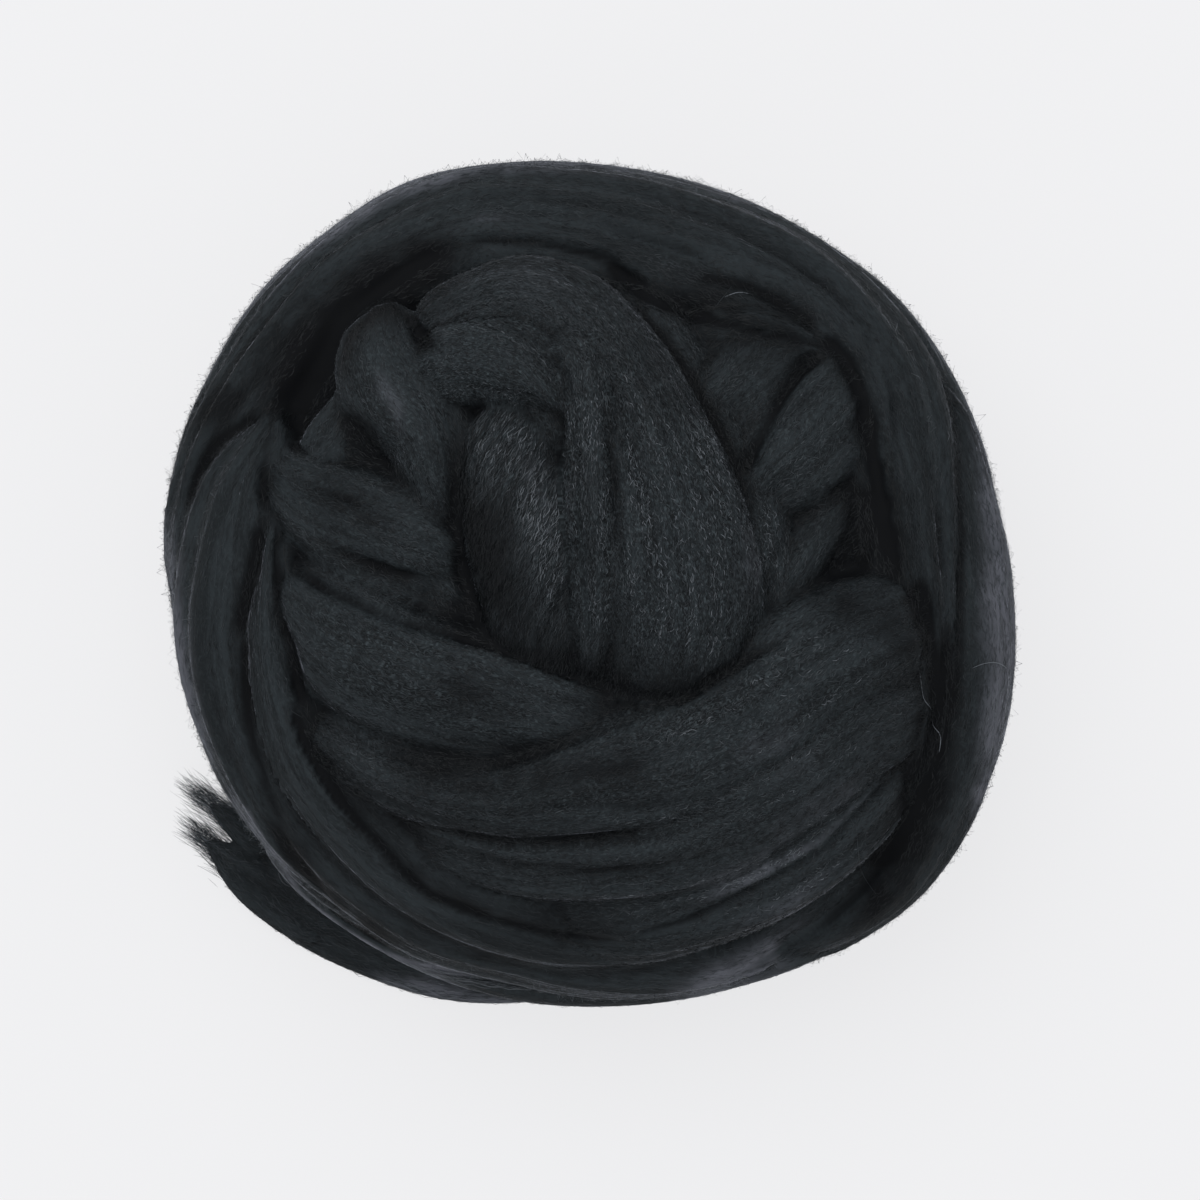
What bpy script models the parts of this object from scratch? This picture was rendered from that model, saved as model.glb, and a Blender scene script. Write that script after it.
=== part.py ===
"""A ball of combed wool roving, wound by hand into a low nest that rests on a small flat spot.

The roving is one long soft band with no twist. Each pass of it over the ball is a wrap: a lens-shaped
section carried along a smooth line, with soft pleats along its length. The wraps are fused with the
core into one solid, and the one end that comes out at the foot of the ball is a piece of its own.

Units are metres, +Z up. The origin is on the floor, under the middle of the whole object. +Y is the
side where the rim wrap crosses the top, and the loose end lies on the -X, -Y side.
"""

import math
from collections import namedtuple

import bmesh
import bpy
from mathutils import Vector

MM = 0.001

# The ball's own form. The wraps lie on it, and their outward directions are read from it.
BALL_RADIUS = 80 * MM
BALL_RISE = 50 * MM
BALL_DROP = 56 * MM
MIDDLE_HEIGHT = 46 * MM
CORE_RADIUS = 64 * MM
CORE_RISE = 40 * MM
CORE_DROP = 56 * MM

# How a wrap's section is drawn.
SECTION_POINTS = 32
SECTION_POWER = 2.4
RING_SPACING = 3.5 * MM
BOW_RADIUS = 62 * MM
END_STEPS = 4
TURN_SMOOTHING = 5

# How the wraps are fused and how fine the solids are.
FUSE_SIZE = 1.5 * MM
BALL_TRIANGLES = 10500
END_TRIANGLES = 900
GAP = 0.8 * MM

# A row is one place on a wrap's crown, the middle of its outer face. x, y and z are millimetres from
# the origin, and width and thick are the section's two sizes there.
Place = namedtuple("Place", "x y z width thick")

# A wrap's pleats run along it: count of them fit its width, and depth is their height in millimetres.
Wrap = namedtuple("Wrap", "count depth places")

WRAPS = {
    # Passes round the foot. The floor flattens the lowest where they touch it.
    "base": Wrap(2, 0.7, (
        Place(-26, -62, 14, 18, 10),
        Place(-46, -40, 7, 24, 12),
        Place(-56, -16, 5, 27, 13),
        Place(-55, 14, 5, 28, 13),
        Place(-40, 42, 5, 28, 13),
        Place(-12, 57, 5, 28, 13),
        Place(18, 55, 5, 28, 13),
        Place(44, 38, 5, 28, 13),
        Place(57, 12, 5, 28, 13),
        Place(55, -16, 5, 28, 13),
        Place(42, -40, 5, 28, 13),
        Place(19, -54, 5, 28, 13),
        Place(-6, -56, 5, 26, 13),
        Place(-28, -48, 6, 22, 12),
    )),
    "back_foot": Wrap(2, 0.9, (
        Place(-22, -66, 18, 20, 12),
        Place(-48, -54, 17, 25, 13),
        Place(-65, -30, 17, 27, 14),
        Place(-72, 0, 18, 28, 14),
        Place(-66, 30, 18, 28, 14),
        Place(-48, 55, 18, 28, 14),
        Place(-20, 70, 18, 28, 14),
        Place(11, 71, 18, 28, 14),
        Place(40, 60, 18, 28, 14),
        Place(62, 38, 18, 28, 14),
        Place(72, 9, 17, 26, 13),
        Place(71, -20, 14, 22, 12),
    )),
    "front_foot": Wrap(2, 0.9, (
        Place(76, 10, 26, 20, 12),
        Place(78, -16, 28, 30, 14),
        Place(73, -38, 28, 33, 15),
        Place(63, -54, 28, 34, 15),
        Place(48, -66, 27, 34, 15),
        Place(29, -74, 26, 32, 15),
        Place(8, -77, 25, 31, 15),
        Place(-14, -76, 24, 29, 14),
        Place(-35, -70, 23, 25, 13),
        Place(-54, -58, 23, 18, 10),
        Place(-66, -44, 23, 10, 6),
    )),
    # The side of the ball, under the rim.
    "waist": Wrap(2, 0.9, (
        Place(-30, -70, 36, 18, 12),
        Place(-50, -60, 34, 24, 13),
        Place(-66, -42, 33, 26, 14),
        Place(-75, -21, 34, 28, 15),
        Place(-78.5, 2, 35, 29, 15),
        Place(-77, 24, 36, 30, 15),
        Place(-69, 43, 38, 31, 15),
        Place(-55, 60, 39, 31, 15),
        Place(-36, 73, 40, 31, 15),
        Place(-15, 79, 41, 31, 15),
        Place(6, 78, 42, 31, 15),
        Place(27, 73, 42, 31, 15),
        Place(46, 63, 42, 30, 15),
        Place(61, 49, 42, 30, 15),
        Place(72, 30, 41, 29, 15),
        Place(77, 9, 39, 27, 14),
        Place(78, -12, 35, 22, 12),
    )),
    # The broad strand round the shoulder: it comes up on the left, crosses the back, drops at the
    # right and runs on round the front, where the fan lies over it.
    "rim": Wrap(4, 1.4, (
        Place(-74, -18, 36, 20, 12),
        Place(-79, 4, 50, 24, 13),
        Place(-76, 24, 56, 26, 14),
        Place(-67, 41, 58, 29, 16),
        Place(-54, 56, 59, 31, 18),
        Place(-39, 67, 60, 33, 19),
        Place(-22, 74, 60, 32, 20),
        Place(-4, 75, 61, 34, 20),
        Place(14, 72, 64, 37, 20),
        Place(31, 66, 65, 37, 20),
        Place(47, 56, 65, 36, 20),
        Place(59, 41, 67, 36, 19),
        Place(64, 23, 70, 30, 18),
        Place(65, 7, 71, 25, 17),
        Place(66, -8, 69, 20, 15),
        Place(67, -23, 63, 18, 14),
        Place(64, -38, 56, 18, 13),
        Place(57, -51, 50, 18, 13),
        Place(46, -62, 46, 18, 13),
        Place(32, -69, 43, 17, 12),
        Place(18, -72, 40, 14, 10),
    )),
    "rim_inner": Wrap(1, 0.4, (
        Place(8, 47, 68, 7, 8),
        Place(17, 49, 74, 8, 8),
        Place(26, 49.5, 76, 9, 9),
        Place(35, 48, 76, 9, 9),
        Place(43, 44, 73, 9, 9),
        Place(50, 37, 67, 8, 8),
    )),
    # The strand that slips off the rim's outer edge and runs down the right side.
    "right_side": Wrap(2, 1.0, (
        Place(65, 41, 54, 14, 10),
        Place(71, 28, 57, 20, 12),
        Place(75, 14, 58, 24, 14),
        Place(78, -1, 57, 26, 15),
        Place(79, -16, 55, 27, 15),
        Place(77, -31, 52, 27, 15),
        Place(72, -45, 48, 26, 15),
        Place(63, -58, 44, 25, 14),
        Place(51, -67, 40, 22, 13),
        Place(36, -74, 37, 18, 11),
    )),
    # Two strands side by side down the left. They sweep along the front and end under the fan.
    "left_outer": Wrap(3, 1.2, (
        Place(-58, 35, 64, 8, 8),
        Place(-63, 27, 71, 13, 11),
        Place(-69, 18, 70, 22, 14),
        Place(-73, 5, 66, 28, 16),
        Place(-75, -9, 62, 30, 17),
        Place(-73, -24, 59, 30, 17),
        Place(-67, -38, 58, 29, 17),
        Place(-58, -51, 57, 28, 16),
        Place(-47, -61, 55, 28, 16),
        Place(-34, -69, 53, 27, 16),
        Place(-19, -74, 51, 27, 15),
        Place(-3, -76, 49, 26, 15),
        Place(13, -76, 46, 24, 14),
        Place(29, -73, 42, 21, 13),
        Place(43, -67, 39, 18, 12),
    )),
    "left_inner": Wrap(2, 0.9, (
        Place(-59, 17, 70, 5, 7),
        Place(-60, 8, 76, 6, 9),
        Place(-61, -2, 76, 9, 11),
        Place(-61, -12, 75, 12, 13),
        Place(-59, -23, 73, 16, 15),
        Place(-55, -35, 72, 18, 16),
        Place(-47, -46, 72, 19, 16),
        Place(-37, -56, 70, 20, 16),
        Place(-26, -63, 68, 20, 15),
        Place(-13, -68, 66, 19, 14),
        Place(1, -71, 62, 17, 13),
        Place(15, -71, 56, 13, 11),
    )),
    # The pass that beds the nest. It shows only at the bottom of the hollows.
    "bed": Wrap(3, 1.2, (
        Place(51, -20, 60, 22, 16),
        Place(54, 2, 66, 26, 18),
        Place(49, 24, 68, 26, 18),
        Place(34, 41, 68, 26, 18),
        Place(12, 52, 67, 26, 18),
        Place(-12, 54, 67, 26, 18),
        Place(-34, 48, 66, 27, 18),
        Place(-49, 34, 65, 28, 18),
        Place(-55, 14, 64, 26, 18),
        Place(-53, -6, 62, 22, 16),
    )),
    # The two passes between the left strands and the big loop.
    "left_high": Wrap(3, 1.1, (
        Place(-62, 26, 62, 9, 9),
        Place(-58, 20, 75, 14, 13),
        Place(-52, 15, 80, 21, 15),
        Place(-44, 11, 84, 25, 16),
        Place(-35, 7, 86, 26, 16),
        Place(-26, 3, 85, 25, 15),
        Place(-16, -1, 80, 22, 12),
    )),
    "left_low": Wrap(2, 0.8, (
        Place(-60, 3, 68, 10, 10),
        Place(-57, -2, 77, 17, 13),
        Place(-51, -9, 83, 23, 15),
        Place(-43, -15, 87, 25, 16),
        Place(-34, -19, 89, 25, 16),
        Place(-24, -22, 90, 25, 16),
        Place(-13, -25, 90, 21, 15),
        Place(-3, -27, 88, 18, 14),
        Place(8, -28, 84, 16, 12),
        Place(18, -28, 78, 14, 10),
    )),
    "left_curl": Wrap(1, 0.3, (
        Place(-42, 40, 64, 8, 8),
        Place(-47, 33, 76, 11, 10),
        Place(-52, 26, 76, 12, 10),
        Place(-56, 19, 70, 10, 9),
    )),
    # The big pleated fan over the front, drawn together on the left and tucked under the rim at right.
    "fan_upper": Wrap(3, 0.8, (
        Place(68, -8, 62, 20, 12),
        Place(61, -11, 74, 26, 15),
        Place(52, -15, 81, 29, 17),
        Place(43, -20, 85, 30, 18),
        Place(33, -28, 87, 29, 18),
        Place(18, -35, 89, 28, 18),
        Place(2, -39, 89, 25, 17),
        Place(-13, -42, 87, 20, 16),
        Place(-27, -41, 84, 17, 15),
        Place(-39, -37, 81, 15, 14),
        Place(-50, -30, 75, 12, 12),
        Place(-58, -22, 66, 8, 9),
    )),
    "fan_middle": Wrap(3, 0.8, (
        Place(67, -22, 61, 18, 12),
        Place(60, -26, 70, 24, 15),
        Place(51, -31, 77, 27, 17),
        Place(41, -38, 80, 28, 18),
        Place(28, -45, 82, 28, 18),
        Place(14, -50, 82, 27, 17),
        Place(-1, -52, 81, 25, 16),
        Place(-15, -52, 79, 21, 15),
        Place(-28, -48, 77, 17, 14),
        Place(-40, -41, 73, 13, 12),
    )),
    "fan_lower": Wrap(2, 0.9, (
        Place(64, -36, 55, 14, 11),
        Place(57, -44, 64, 17, 13),
        Place(47, -53, 68, 19, 15),
        Place(36, -60, 69, 20, 15),
        Place(23, -65, 69, 20, 15),
        Place(9, -68, 68, 19, 14),
        Place(-5, -67, 66, 17, 13),
        Place(-18, -64, 62, 13, 11),
    )),
    # Three passes that slant out from under the big loop to the rim.
    "right_high": Wrap(2, 0.9, (
        Place(46, 54, 62, 16, 12),
        Place(39, 47, 72, 20, 14),
        Place(31, 40, 79, 22, 15),
        Place(24, 33, 82, 22, 14),
        Place(16, 24, 80, 20, 12),
    )),
    "right_middle": Wrap(2, 0.8, (
        Place(55, 43, 62, 16, 12),
        Place(50, 37, 74, 21, 14),
        Place(42.5, 29, 81, 23, 15),
        Place(35, 21, 84, 23, 15),
        Place(26, 12, 82, 20, 12),
    )),
    "right_low": Wrap(1, 0.5, (
        Place(55, 20, 62, 10, 10),
        Place(49, 15, 74, 11, 12),
        Place(43, 8, 79, 12, 13),
        Place(38, 0, 80, 13, 13),
        Place(33, -9, 79, 14, 12),
        Place(27, -18, 74, 12, 10),
    )),
    # The big loop in the middle. It comes from the left, turns over at the back and stands highest.
    "small_lobe": Wrap(2, 0.6, (
        Place(-43, 57, 64, 13, 11),
        Place(-42, 51, 77, 17, 14),
        Place(-40.5, 43, 84.5, 18.5, 15),
        Place(-37, 35.5, 87, 20, 15),
        Place(-31, 28, 88.5, 19, 15),
        Place(-28, 20, 88, 18, 15),
        Place(-25, 11, 85, 17, 13),
        Place(-22, 2, 80, 14, 10),
    )),
    "loop_left": Wrap(1, 0.4, (
        Place(-10, 39, 84, 13, 12),
        Place(-13, 32, 90, 18, 15),
        Place(-13.5, 23, 94, 21, 17),
        Place(-13, 13, 96, 22, 18),
        Place(-12, 3, 96, 21, 18),
        Place(-11, -7, 93, 19, 16),
        Place(-9, -15, 89, 17, 14),
        Place(-7, -23, 84, 15, 12),
        Place(-6, -31, 76, 12, 9),
    )),
    "loop_right": Wrap(3, 0.7, (
        Place(-36, 41, 77, 14, 14),
        Place(-31, 47, 84, 18, 18),
        Place(-23, 51, 88, 19, 22),
        Place(-14, 53.5, 90, 20, 24),
        Place(-5, 50.5, 92, 21, 25),
        Place(2.5, 42.5, 95, 23, 25),
        Place(8, 32, 97, 26, 25),
        Place(12, 20, 98.5, 31, 24),
        Place(15, 8, 98.5, 34, 24),
        Place(17, -4, 96, 34, 24),
        Place(16, -15, 91.5, 32, 20),
        Place(14, -24, 86, 29, 16),
        Place(12, -33, 78, 24, 11),
    )),
    "loop_pleat": Wrap(1, 0.3, (
        Place(-11, 46, 91, 9, 9),
        Place(-4, 43, 97, 9, 10),
        Place(-1, 35, 99, 9, 11),
        Place(0, 25, 100, 9, 11),
        Place(0, 14, 100, 9, 11),
        Place(1, 3, 98, 9, 11),
        Place(1, -7, 95, 8, 10),
        Place(0, -15, 90, 7, 9),
        Place(-1, -23, 84, 7, 8),
    )),
    "loop_fold": Wrap(1, 0.4, (
        Place(-36, 38, 80, 12, 10),
        Place(-29, 42, 88, 16, 14),
        Place(-21, 42.5, 93, 16, 15),
        Place(-14, 40.5, 96, 15, 15),
        Place(-8.5, 36.5, 97.5, 12, 14),
        Place(-5, 31, 96, 8, 11),
        Place(-4, 26, 91, 5, 8),
    )),
}

# The loose end lies on the floor under the front left. It thins out and parts into two locks.
LOOSE_END = {
    "band": Wrap(2, 0.5, (
        Place(16, -48, 5, 16, 8),
        Place(5, -58, 7, 21, 10),
        Place(-9, -64, 8, 25, 11),
        Place(-26, -67, 8, 26, 11),
        Place(-43, -63, 8, 27, 11),
        Place(-57, -56, 8, 26, 10),
        Place(-67, -50, 7, 17, 9),
    )),
    "upper_lock": Wrap(1, 0.2, (
        Place(-57, -53, 7, 11, 7),
        Place(-68, -47, 7, 9, 6),
        Place(-75, -41.5, 6.5, 5, 4),
    )),
    "lower_lock": Wrap(1, 0.2, (
        Place(-60, -61, 6.5, 12, 7),
        Place(-70, -56, 6, 10, 6),
        Place(-77, -49.5, 5, 5, 4),
    )),
}


def clear_scene():
    for obj in list(bpy.data.objects):
        bpy.data.objects.remove(obj, do_unlink=True)


def new_collection(name):
    collection = bpy.data.collections.new(name)
    bpy.context.scene.collection.children.link(collection)
    return collection


def wool_material(name, colour, roughness):
    """Charcoal wool: dark, matt and not metallic."""
    material = bpy.data.materials.new(name)
    material.use_nodes = True
    shader = material.node_tree.nodes["Principled BSDF"]
    shader.inputs["Base Color"].default_value = (*colour, 1.0)
    shader.inputs["Roughness"].default_value = roughness
    shader.inputs["Metallic"].default_value = 0.0
    material.diffuse_color = (*colour, 1.0)
    return material


def between(before, start, end, after, share):
    """A smooth value on the way from start to end: the Catmull-Rom cubic through four neighbours."""
    square, cube = share**2, share**3
    return 0.5 * (
        2 * start
        + (end - before) * share
        + (2 * before - 5 * start + 4 * end - after) * square
        + (3 * start - before - 3 * end + after) * cube
    )


def smooth_places(places):
    """The wrap's places again, about RING_SPACING apart on one smooth curve through them."""
    found = []
    for index in range(len(places) - 1):
        four = [places[min(max(index + step, 0), len(places) - 1)] for step in (-1, 0, 1, 2)]
        span = math.dist(four[1][:3], four[2][:3]) * MM
        steps = max(2, round(span / RING_SPACING))
        for step in range(steps):
            found.append(Place(*(between(*column, step / steps) for column in zip(*four))))
    found.append(places[-1])
    return found


def stretch(point):
    """How many times wider than high the ball's form is, on the point's side of its middle."""
    return BALL_RADIUS / (BALL_RISE if point.z > MIDDLE_HEIGHT else BALL_DROP)


def outward(point):
    """The ball's outward direction at a point, from the ellipsoid that the wraps lie on."""
    climb = (point.z - MIDDLE_HEIGHT) * stretch(point) ** 2
    return Vector((point.x, point.y, climb)).normalized()


def upward(point):
    """The outward direction of what lies on the floor."""
    return Vector((0, 0, 1))


def bow_radius(point, sideways):
    """How tightly a section is bowed: the ball's own radius across it there, or BOW_RADIUS if less."""
    slope = Vector((point.x, point.y, (point.z - MIDDLE_HEIGHT) * stretch(point) ** 2))
    turn = sideways.x**2 + sideways.y**2 + (sideways.z * stretch(point)) ** 2
    return min(BOW_RADIUS, slope.length / turn)


def frames(points, facing):
    """The direction along the wrap and its face's outward direction at each point, turning smoothly."""
    last = len(points) - 1
    along = [(points[min(i + 1, last)] - points[max(i - 1, 0)]).normalized() for i in range(last + 1)]
    raw = [facing(p) - facing(p).dot(t) * t for p, t in zip(points, along)]
    faces = []
    for i, t in enumerate(along):
        near = raw[max(i - TURN_SMOOTHING, 0):i + TURN_SMOOTHING + 1]
        mean = sum(near, Vector())
        faces.append((mean - mean.dot(t) * t).normalized())
    return along, faces


def section(place, wrap, share, size, bow, grow):
    """One ring of points across a wrap, as (sideways, outwards) from its crown. size shrinks the ends.

    It is a superellipse hung below the crown, bowed to lie on the ball, with cosine pleats outside.
    """
    half_width = place.width * MM / 2 + grow
    half_thick = place.thick * MM / 2 + grow
    ring = []
    for index in range(SECTION_POINTS):
        angle = 2 * math.pi * index / SECTION_POINTS
        across = math.copysign(abs(math.cos(angle)) ** (2 / SECTION_POWER), math.cos(angle))
        rise = math.copysign(abs(math.sin(angle)) ** (2 / SECTION_POWER), math.sin(angle))
        pleat = math.cos(math.pi * wrap.count * (across + 0.2 * math.sin(6 * share)))
        side = half_width * across * size
        out = (half_thick * rise + wrap.depth * MM / 2 * pleat * max(rise, 0)) * size
        ring.append((side, out - side**2 / (2 * bow) - half_thick + grow))
    return ring


def loft(mesh, wrap, facing=outward, grow=0.0):
    """Adds one wrap to a bmesh: its rings, the faces between them and a closed, rounded end each way.

    grow is how much fatter than itself it's drawn all round.
    """
    places = smooth_places(wrap.places)
    points = [Vector((p.x, p.y, p.z)) * MM for p in places]
    along, faces = frames(points, facing)
    last = len(places) - 1
    rings = []
    for i, place in enumerate(places):
        from_end = min(i, last - i) + 1
        size = math.sin(math.pi / 2 * min(1, from_end / (END_STEPS + 1)))
        sideways = along[i].cross(faces[i])
        bow = bow_radius(points[i], sideways)
        rings.append([
            mesh.verts.new(points[i] + s * sideways + o * faces[i])
            for s, o in section(place, wrap, i / last, size, bow, grow)
        ])
    for first, second in zip(rings, rings[1:]):
        for a in range(SECTION_POINTS):
            b = (a + 1) % SECTION_POINTS
            mesh.faces.new((first[a], first[b], second[b], second[a]))
    mesh.faces.new(rings[0][::-1])
    mesh.faces.new(rings[-1])


def add_core(mesh, grow=0.0):
    """The hidden middle of the ball: a sphere drawn out to the core's radius, rise and drop."""
    made = bmesh.ops.create_uvsphere(mesh, u_segments=48, v_segments=32, radius=1.0)
    for vert in made["verts"]:
        height = CORE_RISE if vert.co.z > 0 else CORE_DROP
        vert.co = Vector((
            vert.co.x * (CORE_RADIUS + grow),
            vert.co.y * (CORE_RADIUS + grow),
            vert.co.z * (height + grow) + MIDDLE_HEIGHT,
        ))


def whole_ball(grow=0.0):
    """The core and every wrap in one mesh, not yet fused."""
    mesh = bmesh.new()
    add_core(mesh, grow)
    for wrap in WRAPS.values():
        loft(mesh, wrap, grow=grow)
    return mesh


def mesh_object(name, mesh, collection, material):
    bmesh.ops.recalc_face_normals(mesh, faces=mesh.faces)
    data = bpy.data.meshes.new(name)
    mesh.to_mesh(data)
    mesh.free()
    data.materials.append(material)
    obj = bpy.data.objects.new(name, data)
    collection.objects.link(obj)
    return obj


def fuse(obj, triangles=None):
    """Melts the overlapping wraps of an object into one skin, thinned to about that many triangles."""
    remesh = obj.modifiers.new("fuse", "REMESH")
    remesh.mode = "VOXEL"
    remesh.voxel_size = FUSE_SIZE
    if triangles:
        graph = bpy.context.evaluated_depsgraph_get()
        quads = len(obj.evaluated_get(graph).data.polygons)
        thin = obj.modifiers.new("thin", "DECIMATE")
        thin.ratio = min(1.0, triangles / (2 * quads))


def cut(obj, cutter, name):
    boolean = obj.modifiers.new(name, "BOOLEAN")
    boolean.operation = "DIFFERENCE"
    boolean.object = cutter


def floor_cutter(collection):
    """The block below the floor: what it takes off leaves the flat spot that the ball rests on."""
    depth = 40 * MM
    bpy.ops.mesh.primitive_cube_add(size=1, location=(0, 0, -depth / 2))
    block = bpy.context.object
    block.name = "floor_cutter"
    block.scale = (0.4, 0.4, depth)
    for owner in list(block.users_collection):
        owner.objects.unlink(block)
    collection.objects.link(block)
    block.hide_render = True
    block.display_type = "WIRE"
    return block


def build():
    clear_scene()
    parts = new_collection("wool_roving_ball")
    cutters = new_collection("cutters")
    wool = wool_material("charcoal_wool", (0.020, 0.023, 0.026), 0.95)
    tip_wool = wool_material("charcoal_wool_end", (0.026, 0.029, 0.032), 0.95)
    floor = floor_cutter(cutters)

    ball = mesh_object("wound_ball", whole_ball(), parts, wool)
    fuse(ball, BALL_TRIANGLES)
    cut(ball, floor, "flat spot")

    room = mesh_object("ball_with_room", whole_ball(grow=GAP), cutters, wool)
    room.hide_render = True
    room.display_type = "WIRE"
    fuse(room)

    mesh = bmesh.new()
    for wrap in LOOSE_END.values():
        loft(mesh, wrap, upward)
    end = mesh_object("loose_end", mesh, parts, tip_wool)
    fuse(end, END_TRIANGLES)
    cut(end, floor, "flat underside")
    cut(end, room, "room for the ball")


build()
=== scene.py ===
"""The looks of a ball of combed wool roving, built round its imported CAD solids.

The file follows the ball as it is wound: the middle and the foot, the passes up the sides, the rim,
the passes over the top, the fan over the front, the loop in the middle, the creases between all of
them and the loose end. Then come the single fibres on the surface, and last the table, the light and
the camera. Tables are in millimetres and meshes in metres, +Z up.
"""

import math
from collections import namedtuple

import bpy
import numpy as np
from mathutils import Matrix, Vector
from mathutils.bvhtree import BVHTree


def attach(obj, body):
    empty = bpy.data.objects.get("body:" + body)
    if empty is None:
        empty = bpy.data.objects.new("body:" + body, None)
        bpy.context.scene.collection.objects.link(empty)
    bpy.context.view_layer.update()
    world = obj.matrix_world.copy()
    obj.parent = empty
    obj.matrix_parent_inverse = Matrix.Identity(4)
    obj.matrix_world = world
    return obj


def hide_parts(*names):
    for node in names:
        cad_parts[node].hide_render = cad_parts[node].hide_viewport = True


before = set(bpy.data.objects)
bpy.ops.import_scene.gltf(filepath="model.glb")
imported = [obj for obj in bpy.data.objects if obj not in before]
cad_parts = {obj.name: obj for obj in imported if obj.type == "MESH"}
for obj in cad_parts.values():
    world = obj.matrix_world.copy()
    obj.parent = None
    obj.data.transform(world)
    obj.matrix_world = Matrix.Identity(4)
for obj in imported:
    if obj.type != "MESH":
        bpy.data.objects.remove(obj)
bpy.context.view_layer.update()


# ------------------------------------------------------------------------------------------------
# The middle of the ball and its foot. The middle is wool wound tight, which never shows except at
# the bottom of the deepest grooves. The foot is the first wide passes of roving round it, a soft
# flat band of combed fibre with no twist, and the table flattens the lowest. One lies inside the rim.

MM = 0.001

# The ball's own form: an ellipsoid that every pass lies on, and its hidden middle.
BALL_RADIUS = 80.0
BALL_RISE = 50.0
BALL_DROP = 56.0
MIDDLE_HEIGHT = 46.0
CORE_RADIUS, CORE_RISE, CORE_DROP = 64.0, 40.0, 56.0

# How a pass is drawn: its section and the greatest radius that it's bowed to, the lengths over which
# it rounds off and turns, its points' spacing along and across, and on its back their number, and
# its lumps, as their height and their size along and across it.
SECTION_POWER = 2.4
FLATTEST_BOW = 62.0
END_LENGTH = 14.0
TURN_LENGTH = 17.5
RING_STEP, FACE_STEP = 1.5, 1.2
HIDDEN_PLACES = 12
LUMP_HEIGHT, LUMP_LENGTH, LUMP_BREADTH = 0.55, 19, 9

# A pass of roving: pleats fit its width and are depth high, its fibres slant that many degrees off
# its line, and each row is a place on its crown: x, y, z, width, thickness.
Strand = namedtuple("Strand", "pleats depth slant rows")


def smooth_rows(rows, spacing):
    """The rows again, about spacing apart on one smooth curve through them, or half a span where the
    span is short.

    Each new row is the Catmull-Rom cubic of its four nearest rows, at its share of the way from the
    second to the third. The first and last rows stand in for the ones past them.
    """
    rows = np.array(rows, float)
    spans = np.linalg.norm(np.diff(rows[:, :3], axis=0), axis=1)
    steps = np.maximum(2, np.round(spans / spacing)).astype(int)
    first = np.repeat(np.arange(len(spans)), steps)
    share = (np.arange(steps.sum()) - np.repeat(np.cumsum(steps) - steps, steps)) / steps[first]
    share = share[:, None]
    padded = np.vstack([rows[:1], rows, rows[-1:]])
    a, b, c, d = (padded[first + k] for k in range(4))
    curve = 0.5 * (
        2 * b
        + (c - a) * share
        + (2 * a - 5 * b + 4 * c - d) * share**2
        + (3 * b - a - 3 * c + d) * share**3
    )
    return np.vstack([curve, rows[-1:]])


def unit(vectors):
    """Each vector divided by its length."""
    return vectors / np.maximum(np.linalg.norm(vectors, axis=-1, keepdims=True), 1e-9)


def climb(points):
    """The ellipsoid's gradient: x and y as they are, and z from the middle times (radius / height)²."""
    height = np.where(points[..., 2] > MIDDLE_HEIGHT, BALL_RISE, BALL_DROP)
    steep = (BALL_RADIUS / height) ** 2
    rise = (points[..., 2] - MIDDLE_HEIGHT) * steep
    return np.stack([points[..., 0], points[..., 1], rise], axis=-1), steep


def outward(points):
    """The ball's outward direction at points: the ellipsoid's gradient, made one long."""
    return unit(climb(points)[0])


def upward(points):
    """The outward direction of what lies on the table."""
    return np.zeros_like(points) + (0.0, 0.0, 1.0)


def running_mean(values, reach):
    """The mean of each value and its neighbours up to reach away, fewer where the line ends."""
    total = np.vstack([np.zeros_like(values[:1]), np.cumsum(values, axis=0)])
    index = np.arange(len(values))
    low, high = np.maximum(index - reach, 0), np.minimum(index + reach + 1, len(values))
    return (total[high] - total[low]) / (high - low)[:, None]


def wander(x, y, seed):
    """Soft noise from -1 to 1: random heights on whole numbers of x and y, eased from one to the next."""
    left, low = np.floor(x).astype(np.int64), np.floor(y).astype(np.int64)
    across, up = x - left, y - low
    across, up = across * across * (3 - 2 * across), up * up * (3 - 2 * up)

    def height(a, b):
        mixed = (a * 374761393 + b * 668265263 + seed * 144269504) & 0xFFFFFFFF
        mixed = ((mixed ^ (mixed >> 13)) * 1274126177) & 0xFFFFFFFF
        return ((mixed ^ (mixed >> 16)) & 0xFFFF) / 32767.5 - 1

    lower = height(left, low) * (1 - across) + height(left + 1, low) * across
    upper = height(left, low + 1) * (1 - across) + height(left + 1, low + 1) * across
    return lower * (1 - up) + upper * up


# A drawn pass: its points on a grid of rings by places round each ring, and at each the distance
# along the pass and the distance across its fibres, all in millimetres.
Drawn = namedtuple("Drawn", "points along flow face_places")


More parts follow.
